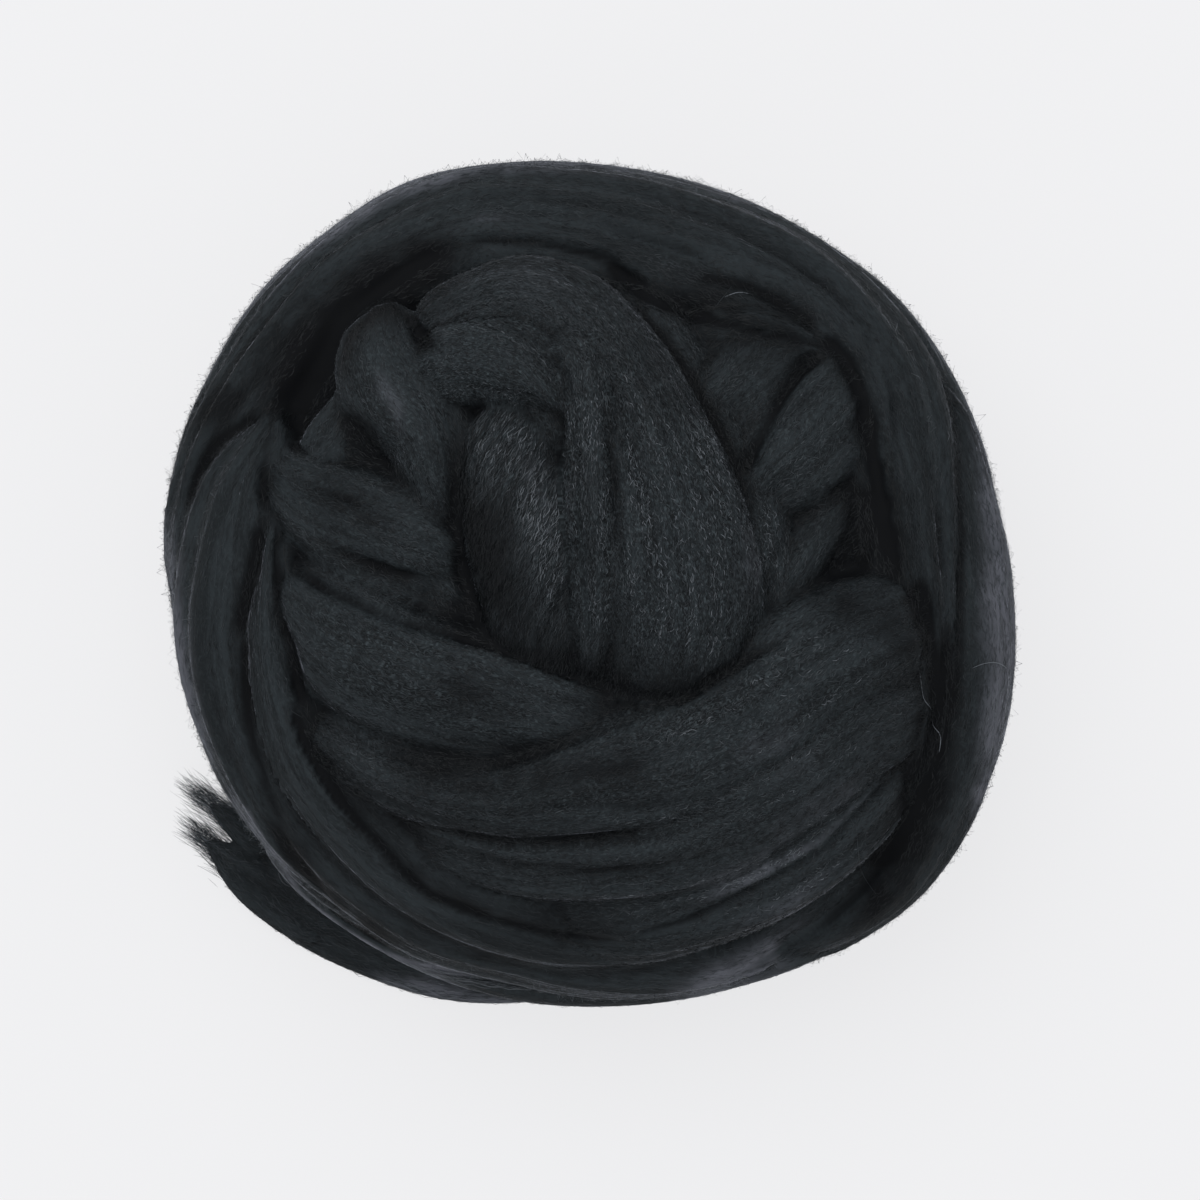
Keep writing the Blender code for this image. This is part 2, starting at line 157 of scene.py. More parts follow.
def draw_strand(strand, seed, facing=outward):
    """One pass as a grid: a lens-shaped section carried along a smooth line, closed at both ends.

    At a share t from -1 to 1 across the face, the side is half the width times t(3 - t²)/2 and the
    height a superellipse of it. The back is the same mirrored, with fewer points. The section hangs
    below its crown and is bowed to lie on the ball, and cosine pleats, which drift a little from side
    to side, and soft lumps stand on its face. Within END_LENGTH of an end it rounds off as an ellipse.
    """
    rows = smooth_rows(strand.rows, RING_STEP)
    crown, width, thick = rows[:, :3], rows[:, 3:4], rows[:, 4:5]
    count = len(rows)
    index = np.arange(count)
    along = unit(crown[np.minimum(index + 1, count - 1)] - crown[np.maximum(index - 1, 0)])
    face = facing(crown)
    face = face - (face * along).sum(1, keepdims=True) * along
    face = running_mean(face, round(TURN_LENGTH / RING_STEP))
    face = unit(face - (face * along).sum(1, keepdims=True) * along)
    sideways = np.cross(along, face)

    gradient, steep = climb(crown)
    turn = sideways[:, 0] ** 2 + sideways[:, 1] ** 2 + steep * sideways[:, 2] ** 2
    bow = np.minimum(FLATTEST_BOW, np.linalg.norm(gradient, axis=1) / turn)[:, None]

    face_places = int(math.ceil((width.max() + 0.8 * thick.max()) / FACE_STEP))
    share = np.linspace(1, -1, face_places)
    back = np.sin(np.linspace(-1, 1, HIDDEN_PLACES + 2)[1:-1] * math.pi / 2)
    across = np.concatenate([share * (3 - share**2) / 2, back])[None]
    rise = (1 - np.minimum(np.abs(across), 1) ** SECTION_POWER) ** (1 / SECTION_POWER)
    rise[:, face_places:] *= -1

    step = np.linalg.norm(np.diff(crown, axis=0), axis=1)
    run = np.concatenate([[0], np.cumsum(step)])[:, None]
    from_end = np.minimum(1, (np.minimum(run, run[-1] - run) + 0.3) / END_LENGTH)
    size = np.sqrt(1 - (1 - from_end) ** 2)
    flow = across * width.mean() / 2 + run * math.tan(math.radians(strand.slant))
    pleat = np.cos(math.pi * strand.pleats * (across + 0.2 * np.sin(6 * run / run[-1])))
    lumps = LUMP_HEIGHT * wander(run / LUMP_LENGTH, flow / LUMP_BREADTH, seed)
    relief = strand.depth / 2 * pleat + lumps
    out = (thick / 2 * rise + relief * np.maximum(rise, 0)) * size
    side = width / 2 * across * size
    out = out - side**2 / (2 * bow) - thick / 2
    points = crown[:, None] + side[..., None] * sideways[:, None] + out[..., None] * face[:, None]
    points[..., 2] = np.maximum(points[..., 2], 0.0)
    return Drawn(points, run + 0 * across, flow + 0 * run, face_places)


def placed(name, data):
    """A new object of this data, put in the scene."""
    piece = bpy.data.objects.new(name, data)
    bpy.context.scene.collection.objects.link(piece)
    return piece


def fill_mesh(name, points, corners, sizes, corner_maps=None, slots=None):
    """A smooth-shaded mesh object from flat arrays: corners lists each face's points in turn."""
    data = bpy.data.meshes.new(name)
    data.vertices.add(len(points))
    data.vertices.foreach_set("co", np.ascontiguousarray(points, np.float32).ravel())
    data.loops.add(len(corners))
    data.loops.foreach_set("vertex_index", np.ascontiguousarray(corners, np.int32))
    data.polygons.add(len(sizes))
    data.polygons.foreach_set("loop_start", (np.cumsum(sizes) - sizes).astype(np.int32))
    if slots is not None:
        data.polygons.foreach_set("material_index", np.ascontiguousarray(slots, np.int32))
    data.polygons.foreach_set("use_smooth", np.ones(len(sizes), bool))
    if corner_maps is not None:
        layer = data.uv_layers.new(name="roving")
        layer.data.foreach_set("uv", np.ascontiguousarray(corner_maps, np.float32).ravel())
    data.update(calc_edges=True)
    return placed(name, data)


# How much further along and across its pattern each pass starts than the one before.
NEXT_ALONG, NEXT_ACROSS = 731, 97


def join_grids(drawn):
    """(points, corners, sizes, quads, maps) of grids in one list: quads between neighbours, and a cap
    on each end. maps is each point's distance along and across its pass, from a start of the pass's
    own, so that no two share a pattern."""
    points, maps, corners, sizes, quads, start = [], [], [], [], [], 0
    for number, grid in enumerate(drawn):
        rings, places = grid.points.shape[:2]
        index = start + np.arange(rings * places).reshape(rings, places)
        after = np.roll(index, -1, axis=1)
        faces = np.stack([index[:-1], index[1:], after[1:], after[:-1]], axis=-1).reshape(-1, 4)
        corners += [faces.ravel(), index[0], index[-1, ::-1]]
        sizes += [np.full(len(faces), 4), [places], [places]]
        quads.append(faces)
        points.append(grid.points.reshape(-1, 3))
        along, across = grid.along + NEXT_ALONG * number, grid.flow + NEXT_ACROSS * number
        maps.append(np.stack([along, across], -1).reshape(-1, 2))
        start += rings * places
    return [np.concatenate(parts) for parts in (points, corners, sizes, quads, maps)]


# The camera looks straight down from this height, over this place.
CAMERA_HEIGHT = 1446.0
CAMERA_PLACE = (1.9, -3.4)


def shown(points):
    """Where points show from the camera: x and y of the same lines of sight at the middle's height."""
    spread = (CAMERA_HEIGHT - MIDDLE_HEIGHT) / (CAMERA_HEIGHT - points[..., 2:3])
    return CAMERA_PLACE + (points[..., :2] - CAMERA_PLACE) * spread


# On the side of a crease that doesn't lie lower, its own width and reach. A crease deeper than
# SHALLOW fades over the last DEEP_ENDS of its path, at both ends, and any other over SHALLOW_ENDS.
HIGH_WIDTH, HIGH_REACH = 0.8, 0.9
SHALLOW, DEEP_ENDS, SHALLOW_ENDS = 0.8, 5.0, 12.0


def creased(points, away, creases):
    """(depth, dark) at points that face up: how far the creases press them in, and how dark their painted
    shadow lies, below 0 a painted highlight.

    d is the distance from the path as shown. The depth is depth e^-(d / width)² and the dark dark
    e^-(d / reach)^1.4, a little uneven. Both fade at the path's ends, over a third of it at most. The
    deepest, the darkest painted shadow and the palest painted highlight count, and a painted highlight
    shows on the ball's edge as well.
    """
    seen = shown(points)
    deep, dark, pale = np.zeros((3, len(points)))
    for crease in creases:
        path = np.array(crease.path, float)
        start, step = path[:-1], np.diff(path, axis=0)
        length = np.linalg.norm(step, axis=1)
        middle, half = (path.min(0) + path.max(0)) / 2, np.ptp(path, axis=0) / 2
        half = half + 2.5 * max(crease.width, crease.reach)
        near = np.flatnonzero((np.abs(seen - middle) < half).all(1))
        offset = seen[near, None] - start
        part = np.clip((offset * step).sum(2) / length**2, 0, 1)
        gap = np.linalg.norm(offset - part[..., None] * step, axis=2)
        rows, closest = np.arange(len(gap)), gap.argmin(1)
        gap, part, offset = gap[rows, closest], part[rows, closest], offset[rows, closest]
        left = step[closest, 0] * offset[:, 1] - step[closest, 1] * offset[:, 0] > 0
        high = (left == (crease.low < 0)) if crease.low else np.zeros(len(near), bool)
        run = (np.cumsum(length) - length)[closest] + part * length[closest]
        ends = DEEP_ENDS if crease.depth > SHALLOW else SHALLOW_ENDS
        from_end = (np.minimum(run, length.sum() - run) + 0.5) / min(length.sum() / 3, ends)
        fade = np.minimum(1, from_end) ** 0.8
        width = np.where(high, HIGH_WIDTH, crease.width)
        reach = np.where(high, HIGH_REACH, crease.reach)
        deep[near] = np.maximum(deep[near], crease.depth * fade * np.exp(-(gap / width) ** 2))
        mark = crease.dark * fade * np.exp(-(gap / reach) ** 1.4)
        dark[near] = np.maximum(dark[near], mark)
        pale[near] = np.minimum(pale[near], mark)
    facing_up = np.clip(3 * away[:, 2], 0, 1)
    dark = dark * facing_up + pale * np.clip(1 + 3 * away[:, 2], 0, 1)
    return deep * facing_up, dark * (1 + 0.3 * wander(seen[:, 0] / 3, seen[:, 1] / 3, 5))


def hollows(points, away, corners, rounds):
    """How far each point lies in a hollow, in millimetres: the distance, along the skin's direction, to
    where it goes when every point is drawn, that many times, 0.7 of the way to its neighbours' mean."""
    edges = np.concatenate([corners[:, [k, (k + 1) % 4]] for k in range(4)])
    here, there = edges.T
    count = np.bincount(here, minlength=len(points))[:, None]
    even = points
    for _ in range(rounds):
        total = np.stack([np.bincount(here, even[there, k], len(points)) for k in range(3)], axis=1)
        even = even + 0.7 * (total / count - even)
    return ((even - points) * away).sum(1)


def read(collection, key, width, kind=np.float32):
    """A property of all of a mesh's elements as one array, width numbers to an element."""
    values = np.empty(len(collection) * width, kind)
    collection.foreach_get(key, values)
    return values.reshape(-1, width)


# The ridges on a skin, each as height, length and breadth. The two kinds of hollow that get painted
# shade, a groove and a dip, each as how much it counts and the rounds of smoothing that find it. A
# crest gets a painted highlight in the same way, up to MOST_CREST.
RIDGES = ((0.45, 55, 3.4), (0.30, 34, 1.8))
HOLLOWS = ((0.7, 6), (0.4, 120))
MOST_CREST = 0.2

# A steep side gets a painted highlight, for light caught in its fuzz, by FUZZ_HIGHLIGHT where it's
# upright. It grows up to FUZZ_GROWN above the table, and ends over the FUZZ_FADES below FUZZ_TOP,
# where the passes on top begin.
FUZZ_HIGHLIGHT, FUZZ_SLOPE = 0.6, 0.4
FUZZ_GROWN, FUZZ_FADES, FUZZ_TOP = 25, 8, 76

# The millimetres to one unit of a skin's pattern map.
MAP_UNIT = 100.0


def melt(name, drawn, grain, smoothing, creases):
    """The grids as one closed skin: overlapping passes are melted by a voxel remesh and smoothed.

    Each point of the skin is then set back on the pass that it came from: the nearest quad of the
    grids, with its place in that quad from the quad's two edges. A face takes its pattern from its
    first corner's quad, carried on to its other corners, so that a pattern never stretches between
    two passes. The creases are pressed in, and ridges of soft noise, drawn out along the fibres,
    stand on the skin. Each point keeps its painted shading as an attribute: painted shade by how many
    millimetres it lies below the skin round it and by the creases' painted shadows, less the painted
    highlights on crests, along the pale creases and on a steep side, for light caught in its fuzz.
    """
    points, corners, sizes, quads, maps = join_grids(drawn)
    rough = fill_mesh(name + "_rough", points, corners, sizes)
    remesh = rough.modifiers.new("melt", "REMESH")
    remesh.mode, remesh.voxel_size = "VOXEL", grain
    ease = rough.modifiers.new("ease", "SMOOTH")
    ease.factor, ease.iterations = 0.5, smoothing
    skin = rough.evaluated_get(bpy.context.evaluated_depsgraph_get()).data
    spots = read(skin.vertices, "co", 3).astype(float)
    away = read(skin.vertex_normals, "vector", 3).astype(float)
    faces = read(skin.loops, "vertex_index", 1, np.int32).reshape(-1, 4)
    bpy.data.objects.remove(rough)

    tree = BVHTree.FromPolygons(points.tolist(), quads.tolist())
    nearest = np.array([tree.find_nearest(spot)[2] for spot in spots.tolist()])
    own = carried(spots, nearest, points, quads, maps)
    ridges = sum(
        high * wander(own[:, 0] / length, own[:, 1] / breadth, seed)
        for seed, (high, length, breadth) in enumerate(RIDGES, 1)
    )
    deep, dark = creased(spots, away, creases)
    spots = spots + (ridges - deep)[:, None] * away
    spots[:, 2] = np.maximum(spots[:, 2], 0.0)
    first = np.repeat(nearest[faces[:, 0]], 4)
    face_maps = carried(spots[faces.ravel()], first, points, quads, maps)
    sizes = np.full(len(faces), 4)
    piece = fill_mesh(name, spots * MM, faces.ravel(), sizes, face_maps / MAP_UNIT)
    # Painted shading: shade in hollows and beside creases, highlights on crests and on steep sides.
    shade = sum(counts * hollows(spots, away, faces, rounds) for counts, rounds in HOLLOWS)
    high = spots[:, 2]
    low = np.clip(high / FUZZ_GROWN, 0, 1) * np.clip((FUZZ_TOP - high) / FUZZ_FADES, 0, 1)
    highlight_share = low * np.clip(1 - away[:, 2] / FUZZ_SLOPE, 0, 1) ** 2
    shade = np.maximum(shade, -MOST_CREST) + dark - FUZZ_HIGHLIGHT * highlight_share
    attribute = piece.data.attributes.new("shade_and_highlight", "FLOAT", "POINT")
    attribute.data.foreach_set("value", np.ascontiguousarray(shade, np.float32))
    return piece


def carried(spots, which, points, quads, maps):
    """The grids' own distances at spots: each spot's place in its quad, by that quad's two edges."""
    corner, ahead, beside = (quads[which, k] for k in (0, 1, 3))
    first, second = points[ahead] - points[corner], points[beside] - points[corner]
    spot = spots - points[corner]
    aa, bb, ab = ((p * q).sum(1) for p, q in ((first, first), (second, second), (first, second)))
    a, b = (spot * first).sum(1), (spot * second).sum(1)
    whole = np.maximum(aa * bb - ab * ab, 1e-9)
    share = np.clip((a * bb - b * ab) / whole, -2, 3)[:, None]
    other = np.clip((b * aa - a * ab) / whole, -2, 3)[:, None]
    return maps[corner] + share * (maps[ahead] - maps[corner]) + other * (maps[beside] - maps[corner])


def set_inputs(node, values):
    """Gives a node's inputs these values, by their names."""
    for key, value in values.items():
        node.inputs[key].default_value = value


# The wool's noises: the grain along a fibre and across it, in millimetres, where it starts across,
# its detail and its roughness.
NOISES = {
    "phase": (13.0, 1.3, 0.0, 1.0, 0.5),
    "drift": (11.0, 5.0, 0.0, 1.0, 0.5),
    "strokes": (0.9, 0.24, 0.0, 2.0, 0.6),
    "threads": (4.0, 0.55, 40.0, 1.0, 0.5),
    "locks": (34.0, 1.3, 80.0, 2.0, 0.5),
    "bands": (48.0, 3.4, 120.0, 1.0, 0.5),
    "tufts": (3.2, 0.8, 160.0, 2.0, 0.6),
}


class Wire:
    """An output of a material's nodes. Sums on it add Math nodes, and node adds any other kind."""

    def __init__(self, tree, socket):
        self.tree, self.socket = tree, socket

    def node(self, kind, settings, inputs, output=0):
        """Adds a node of that type, sets its settings, then its inputs, and returns one output."""
        made = self.tree.nodes.new(kind)
        for key, value in settings.items():
            setattr(made, key, value)
        for key, value in inputs.items():
            if isinstance(value, Wire):
                self.tree.links.new(value.socket, made.inputs[key])
            else:
                made.inputs[key].default_value = value
        return Wire(self.tree, made.outputs[output])

    def math(self, operation, *values):
        inputs = dict(enumerate((self, *values)))
        return self.node("ShaderNodeMath", {"operation": operation}, inputs)

    def __add__(self, other):
        return self.math("ADD", other)

    def __mul__(self, other):
        return self.math("MULTIPLY", other)

    def __truediv__(self, other):
        return self.math("DIVIDE", other)

    __radd__, __rmul__ = __add__, __mul__

    def noise(self, kind, across):
        """One of the wool's noises, from 0 to 1, self being the distance along the pass."""
        grain, breadth, start, detail, roughness = NOISES[kind]
        place = self.node("ShaderNodeCombineXYZ", {}, {"X": self / grain, "Y": across / breadth + start})
        inputs = {"Vector": place, "Scale": 1.0, "Detail": detail, "Roughness": roughness}
        return self.node("ShaderNodeTexNoise", {"noise_dimensions": "2D"}, inputs)

    def eased(self, low, high, start=0.0, end=1.0):
        """start below low, end above high, and a smooth step between."""
        inputs = {"Value": self, "From Min": low, "From Max": high, "To Min": start, "To Max": end}
        return self.node("ShaderNodeMapRange", {"interpolation_type": "SMOOTHSTEP"}, inputs)

    def colours(self, first, second):
        """The mix of two colours, self being the second's share."""
        inputs = {0: self}
        for key, colour in ((6, first), (7, second)):
            inputs[key] = colour if isinstance(colour, Wire) else (*colour, 1.0)
        return self.node("ShaderNodeMix", {"data_type": "RGBA"}, inputs, 2)


def wool_material(name, deep, dark, pale, glint, lit_fuzz):
    """Combed wool: short crimped strokes of paler fibre over a dark ground, all along the fibres.

    The distance across is pushed to and fro by a sine along the pass, with a phase that wanders from
    lock to lock. Noise drawn out along the pass gives the strokes, threads and tufts on that, and
    the broader locks and bands on the plain distance. The ground runs from dark to pale with them and
    a stroke takes it on to glint. Painted shade, in a hollow or beside a crease, takes it down to deep,
    and a painted highlight, on a crest or a steep side, up to the pale lilac of lit fuzz.
    """
    material = bpy.data.materials.new(name)
    material.use_nodes = True
    tree = material.node_tree
    shader = tree.nodes["Principled BSDF"]
    start = Wire(tree, None)
    place = start.node("ShaderNodeUVMap", {"uv_map": "roving"}, {})
    along = place.node("ShaderNodeSeparateXYZ", {}, {"Vector": place}, 0) * MAP_UNIT
    across = place.node("ShaderNodeSeparateXYZ", {}, {"Vector": place}, 1) * MAP_UNIT
    # The painted shading of each point: painted shade above 0, painted highlight below 0.
    shade_and_highlight = start.node("ShaderNodeAttribute", {"attribute_name": "shade_and_highlight"}, {}, 2)
    spot = start.node("ShaderNodeTexCoord", {}, {}, 3)
    height = spot.node("ShaderNodeSeparateXYZ", {}, {"Vector": spot}, 2)
    crisp = height.eased(*CRISP_HEIGHTS, 0.2, 1.0)

    phase = along.noise("phase", across) * 22.0
    crimp = (along * (2 * math.pi / CRIMP_LENGTH) + phase).math("SINE") * CRIMP_WIDTH
    drift = along.noise("drift", across) * 2.4
    line = across + crimp + drift
    strokes, threads, tufts = (along.noise(kind, line) for kind in ("strokes", "threads", "tufts"))
    locks = along.noise("locks", across + drift * 0.5)
    bands = along.noise("bands", across)

    bright = strokes.eased(0.42, 0.70) * threads.eased(0.30, 0.66, 0.3, 1.0)
    bright = 0.16 + (bright + -0.16) * crisp
    ground = (locks * 0.38 + tufts * 0.27 + bands * 0.35).eased(0.405, 0.595)
    colour = bright.colours(ground.colours(dark, pale), glint)
    # Painted highlight on crests and steep sides, broken up by the locks and tufts, then painted shade in
    # hollows and beside creases.
    highlight_share = shade_and_highlight.eased(-1.6, -0.25, 0.85, 0.0) * (locks + tufts * 0.6 + 0.2)
    colour = highlight_share.colours(colour, lit_fuzz)
    colour = shade_and_highlight.eased(-0.2, 1.4).colours(colour, deep)
    relief = (strokes * 0.25 + threads * 0.35) * crisp + locks * 0.7 + tufts * 0.3
    relief = relief * shade_and_highlight.eased(0.3, 1.6, 1.0, 0.0)
    bump = {"Strength": 0.9, "Distance": 0.5 * MM, "Height": relief}
    normal = relief.node("ShaderNodeBump", {}, bump)
    tree.links.new(colour.socket, shader.inputs["Base Color"])
    tree.links.new(normal.socket, shader.inputs["Normal"])
    set_inputs(shader, {
        "Roughness": 0.75,
        "Specular IOR Level": 0.08,
        "Sheen Weight": 0.5,
        "Sheen Roughness": 0.12,
        "Sheen Tint": (0.62, 0.66, 0.78, 1.0),
    })
    return material


# Strokes are crisp on top of the ball and soften between these two heights, in metres, towards its
# sides. Fine wool waves to and fro about every three and a half millimetres.
CRISP_HEIGHTS = (0.070, 0.096)
CRIMP_LENGTH, CRIMP_WIDTH = 3.6, 0.16
# The deepest colour is painted shade in hollows and creases, and the last, a pale lilac, a painted
# highlight on crests and steep sides.
charcoal = wool_material(
    "charcoal_roving",
    deep=(0.0021, 0.0025, 0.0032),
    dark=(0.0050, 0.0061, 0.0070),
    pale=(0.0140, 0.0176, 0.0200),
    glint=(0.036, 0.045, 0.050),
    lit_fuzz=(0.086, 0.090, 0.106),
)

# Every pass of the ball as it's drawn, by name.
passes = {}


def wind(strands):
    """Draws a group of passes on to the ball."""
    for strand_name, strand in strands.items():
        passes[strand_name] = draw_strand(strand, len(passes))


wind({
    "base": Strand(2, 0.7, 0, (
        (-26, -62, 14, 18, 10), (-46, -40, 7, 24, 12), (-56, -16, 5, 27, 13), (-55, 14, 5, 28, 13),
        (-40, 42, 5, 28, 13), (-12, 57, 5, 28, 13), (18, 55, 5, 28, 13), (44, 38, 5, 28, 13),
        (57, 12, 5, 28, 13), (55, -16, 5, 28, 13), (42, -40, 5, 28, 13), (19, -54, 5, 28, 13),
        (-6, -56, 5, 26, 13), (-28, -48, 6, 22, 12),
    )),
    "back_foot": Strand(2, 0.9, 0, (
        (-22, -66, 18, 20, 12), (-48, -54, 17, 25, 13), (-65, -30, 17, 27, 14),
        (-72, 0, 18, 28, 14), (-66, 30, 18, 28, 14), (-48, 55, 18, 28, 14), (-20, 70, 18, 28, 14),
        (11, 71, 18, 28, 14), (40, 60, 18, 28, 14), (62, 38, 18, 28, 14), (72, 9, 17, 26, 13),
        (71, -20, 14, 22, 12),
    )),
    "front_foot": Strand(2, 0.9, 0, (
        (76, 10, 26, 20, 12), (78, -16, 28, 30, 14), (73, -38, 28, 33, 15), (63, -54, 28, 34, 15),
        (48, -66, 27, 34, 15), (29, -74, 26, 32, 15), (8, -78, 25, 31, 15), (-14, -77, 24, 29, 14),
        (-35, -70, 23, 25, 13), (-54, -58, 23, 18, 10), (-66, -44, 23, 10, 6),
    )),
    "bed": Strand(3, 1.2, 0, (
        (51, -20, 60, 22, 16), (54, 2, 66, 26, 18), (49, 24, 68, 26, 18), (34, 41, 68, 26, 18),
        (12, 52, 67, 26, 18), (-12, 54, 67, 26, 18), (-34, 47, 69, 27, 20), (-47, 33, 71, 28, 22),
        (-54, 15, 68, 26, 20), (-53, -6, 62, 22, 16),
    )),
})

# The hidden middle is one more grid, of rings from bottom to top, and its poles are closed. Its
# pattern runs CORE_PATTERN millimetres to a radian.
CORE_RINGS, CORE_PLACES, CORE_PATTERN = 30, 72, 60
level = np.linspace(-math.pi / 2, math.pi / 2, CORE_RINGS)[:, None]
turn = np.linspace(0, 2 * math.pi, CORE_PLACES + 1)[None, :0:-1]
height = np.where(level > 0, CORE_RISE, CORE_DROP)
passes["middle"] = Drawn(
    np.stack([
        CORE_RADIUS * np.cos(level) * np.cos(turn),
        CORE_RADIUS * np.cos(level) * np.sin(turn),
        np.maximum(MIDDLE_HEIGHT + height * np.sin(level) + 0 * turn, 0.0),
    ], axis=-1),
    CORE_PATTERN * level + 0 * turn,
    CORE_PATTERN * turn + 0 * level,
    CORE_PLACES,
)


# ------------------------------------------------------------------------------------------------
# The sides. One pass goes round the waist. Another slips off the rim's outer edge and runs down the
# right, and two lie side by side down the left, sweep along the front and end under the fan.

wind({
    "waist": Strand(2, 0.9, 0, (
        (-30, -70, 36, 18, 12), (-50, -60, 34, 24, 13), (-66, -42, 33, 26, 14),
        (-75, -21, 34, 28, 15), (-78.5, 2, 35, 29, 15), (-77, 24, 36, 30, 15),
        (-69.6, 43.4, 38, 31, 15), (-55.7, 60.8, 39, 31, 15), (-36.6, 74.2, 40, 31, 15),
        (-15, 79, 41, 31, 15), (6, 78, 42, 31, 15), (27, 73, 42, 31, 15), (46, 63, 42, 30, 15),
        (61, 49, 42, 30, 15), (72, 30, 41, 29, 15), (77, 9, 39, 27, 14), (78, -12, 35, 22, 12),
    )),
    "right_side": Strand(2, 1.0, 0, (
        (65, 41, 54, 14, 10), (71, 28, 57, 20, 12), (75, 14, 58, 24, 14), (78, -1, 57, 26, 15),
        (79, -16, 55, 27, 15), (77, -31, 52, 27, 15), (72, -45, 48, 26, 15), (63, -58, 44, 25, 14),
        (51, -67, 40, 22, 13), (36, -74, 37, 18, 11),
    )),
    "left_outer": Strand(3, 1.2, 0, (
        (-58, 35, 64, 8, 8), (-63, 27, 71, 13, 11), (-69, 18, 70, 22, 14), (-73, 5, 66, 28, 16),
        (-75, -9, 62, 30, 17), (-73, -24, 59, 30, 17), (-67, -38, 58, 29, 17),
        (-58, -51, 57, 28, 16), (-47, -61, 55, 28, 16), (-34, -69, 53, 27, 16),
        (-19, -74, 51, 27, 15), (-3, -77.6, 49, 26, 15), (13, -78, 46, 24, 14),
        (29, -74.7, 42, 21, 13), (43, -67, 39, 18, 12),
    )),
    "left_inner": Strand(2, 0.9, 0, (
        (-59, 17, 70, 5, 7), (-60, 8, 76, 6, 9), (-61, -2, 76, 9, 11), (-61, -12, 75, 12, 13),
        (-59, -23, 73, 16, 15), (-55, -35, 72, 18, 16), (-47, -46, 72, 19, 16),
        (-37, -56, 70, 20, 16), (-26, -63, 68, 20, 15), (-13, -68, 66, 19, 14),
        (1, -71, 62, 17, 13), (15, -71, 56, 13, 11),
    )),
})


# ------------------------------------------------------------------------------------------------
# The rim. One broad pleated pass comes up on the left, crosses the back, drops at the right and
# runs on round the front, and a thin lock has come away from its inner edge.

wind({
    "rim": Strand(4, 1.4, 0, (
        (-74, -18, 36, 20, 12), (-79, 4, 50, 24, 13), (-76, 24, 56, 26, 14), (-67, 41, 58, 29, 16),
        (-54.7, 56.7, 59, 31, 18), (-39.6, 68.1, 60, 33, 19), (-22.3, 75, 60, 32, 20),
        (-4, 75, 61, 34, 20), (14, 72, 64, 37, 20), (31, 66, 65, 37, 20), (47, 56, 65, 36, 20),
        (59, 41, 67, 36, 19), (64, 23, 70, 30, 18), (65, 7, 71, 25, 17), (66, -8, 69, 20, 15),
        (67, -23, 63, 18, 14), (64, -38, 56, 18, 13), (57, -51, 50, 18, 13), (46, -62, 46, 18, 13),
        (32, -69, 43, 17, 12), (18, -72, 40, 14, 10),
    )),
    "rim_inner": Strand(1, 0.4, 0, (
        (8, 47, 68, 7, 8), (17, 49, 74, 8, 8), (26, 49.5, 76, 9, 9), (35, 48, 76, 9, 9),
        (43, 44, 73, 9, 9), (50, 37, 67, 8, 8),
    )),
})


# ------------------------------------------------------------------------------------------------
# The crossing passes, three or four deep in the nest: two on the left, three that slant out to the
# rim on the right, a small lobe at the back and a curl in the hollow beside it. Low down in the gaps
# between them there is more wool, as four thin beds.

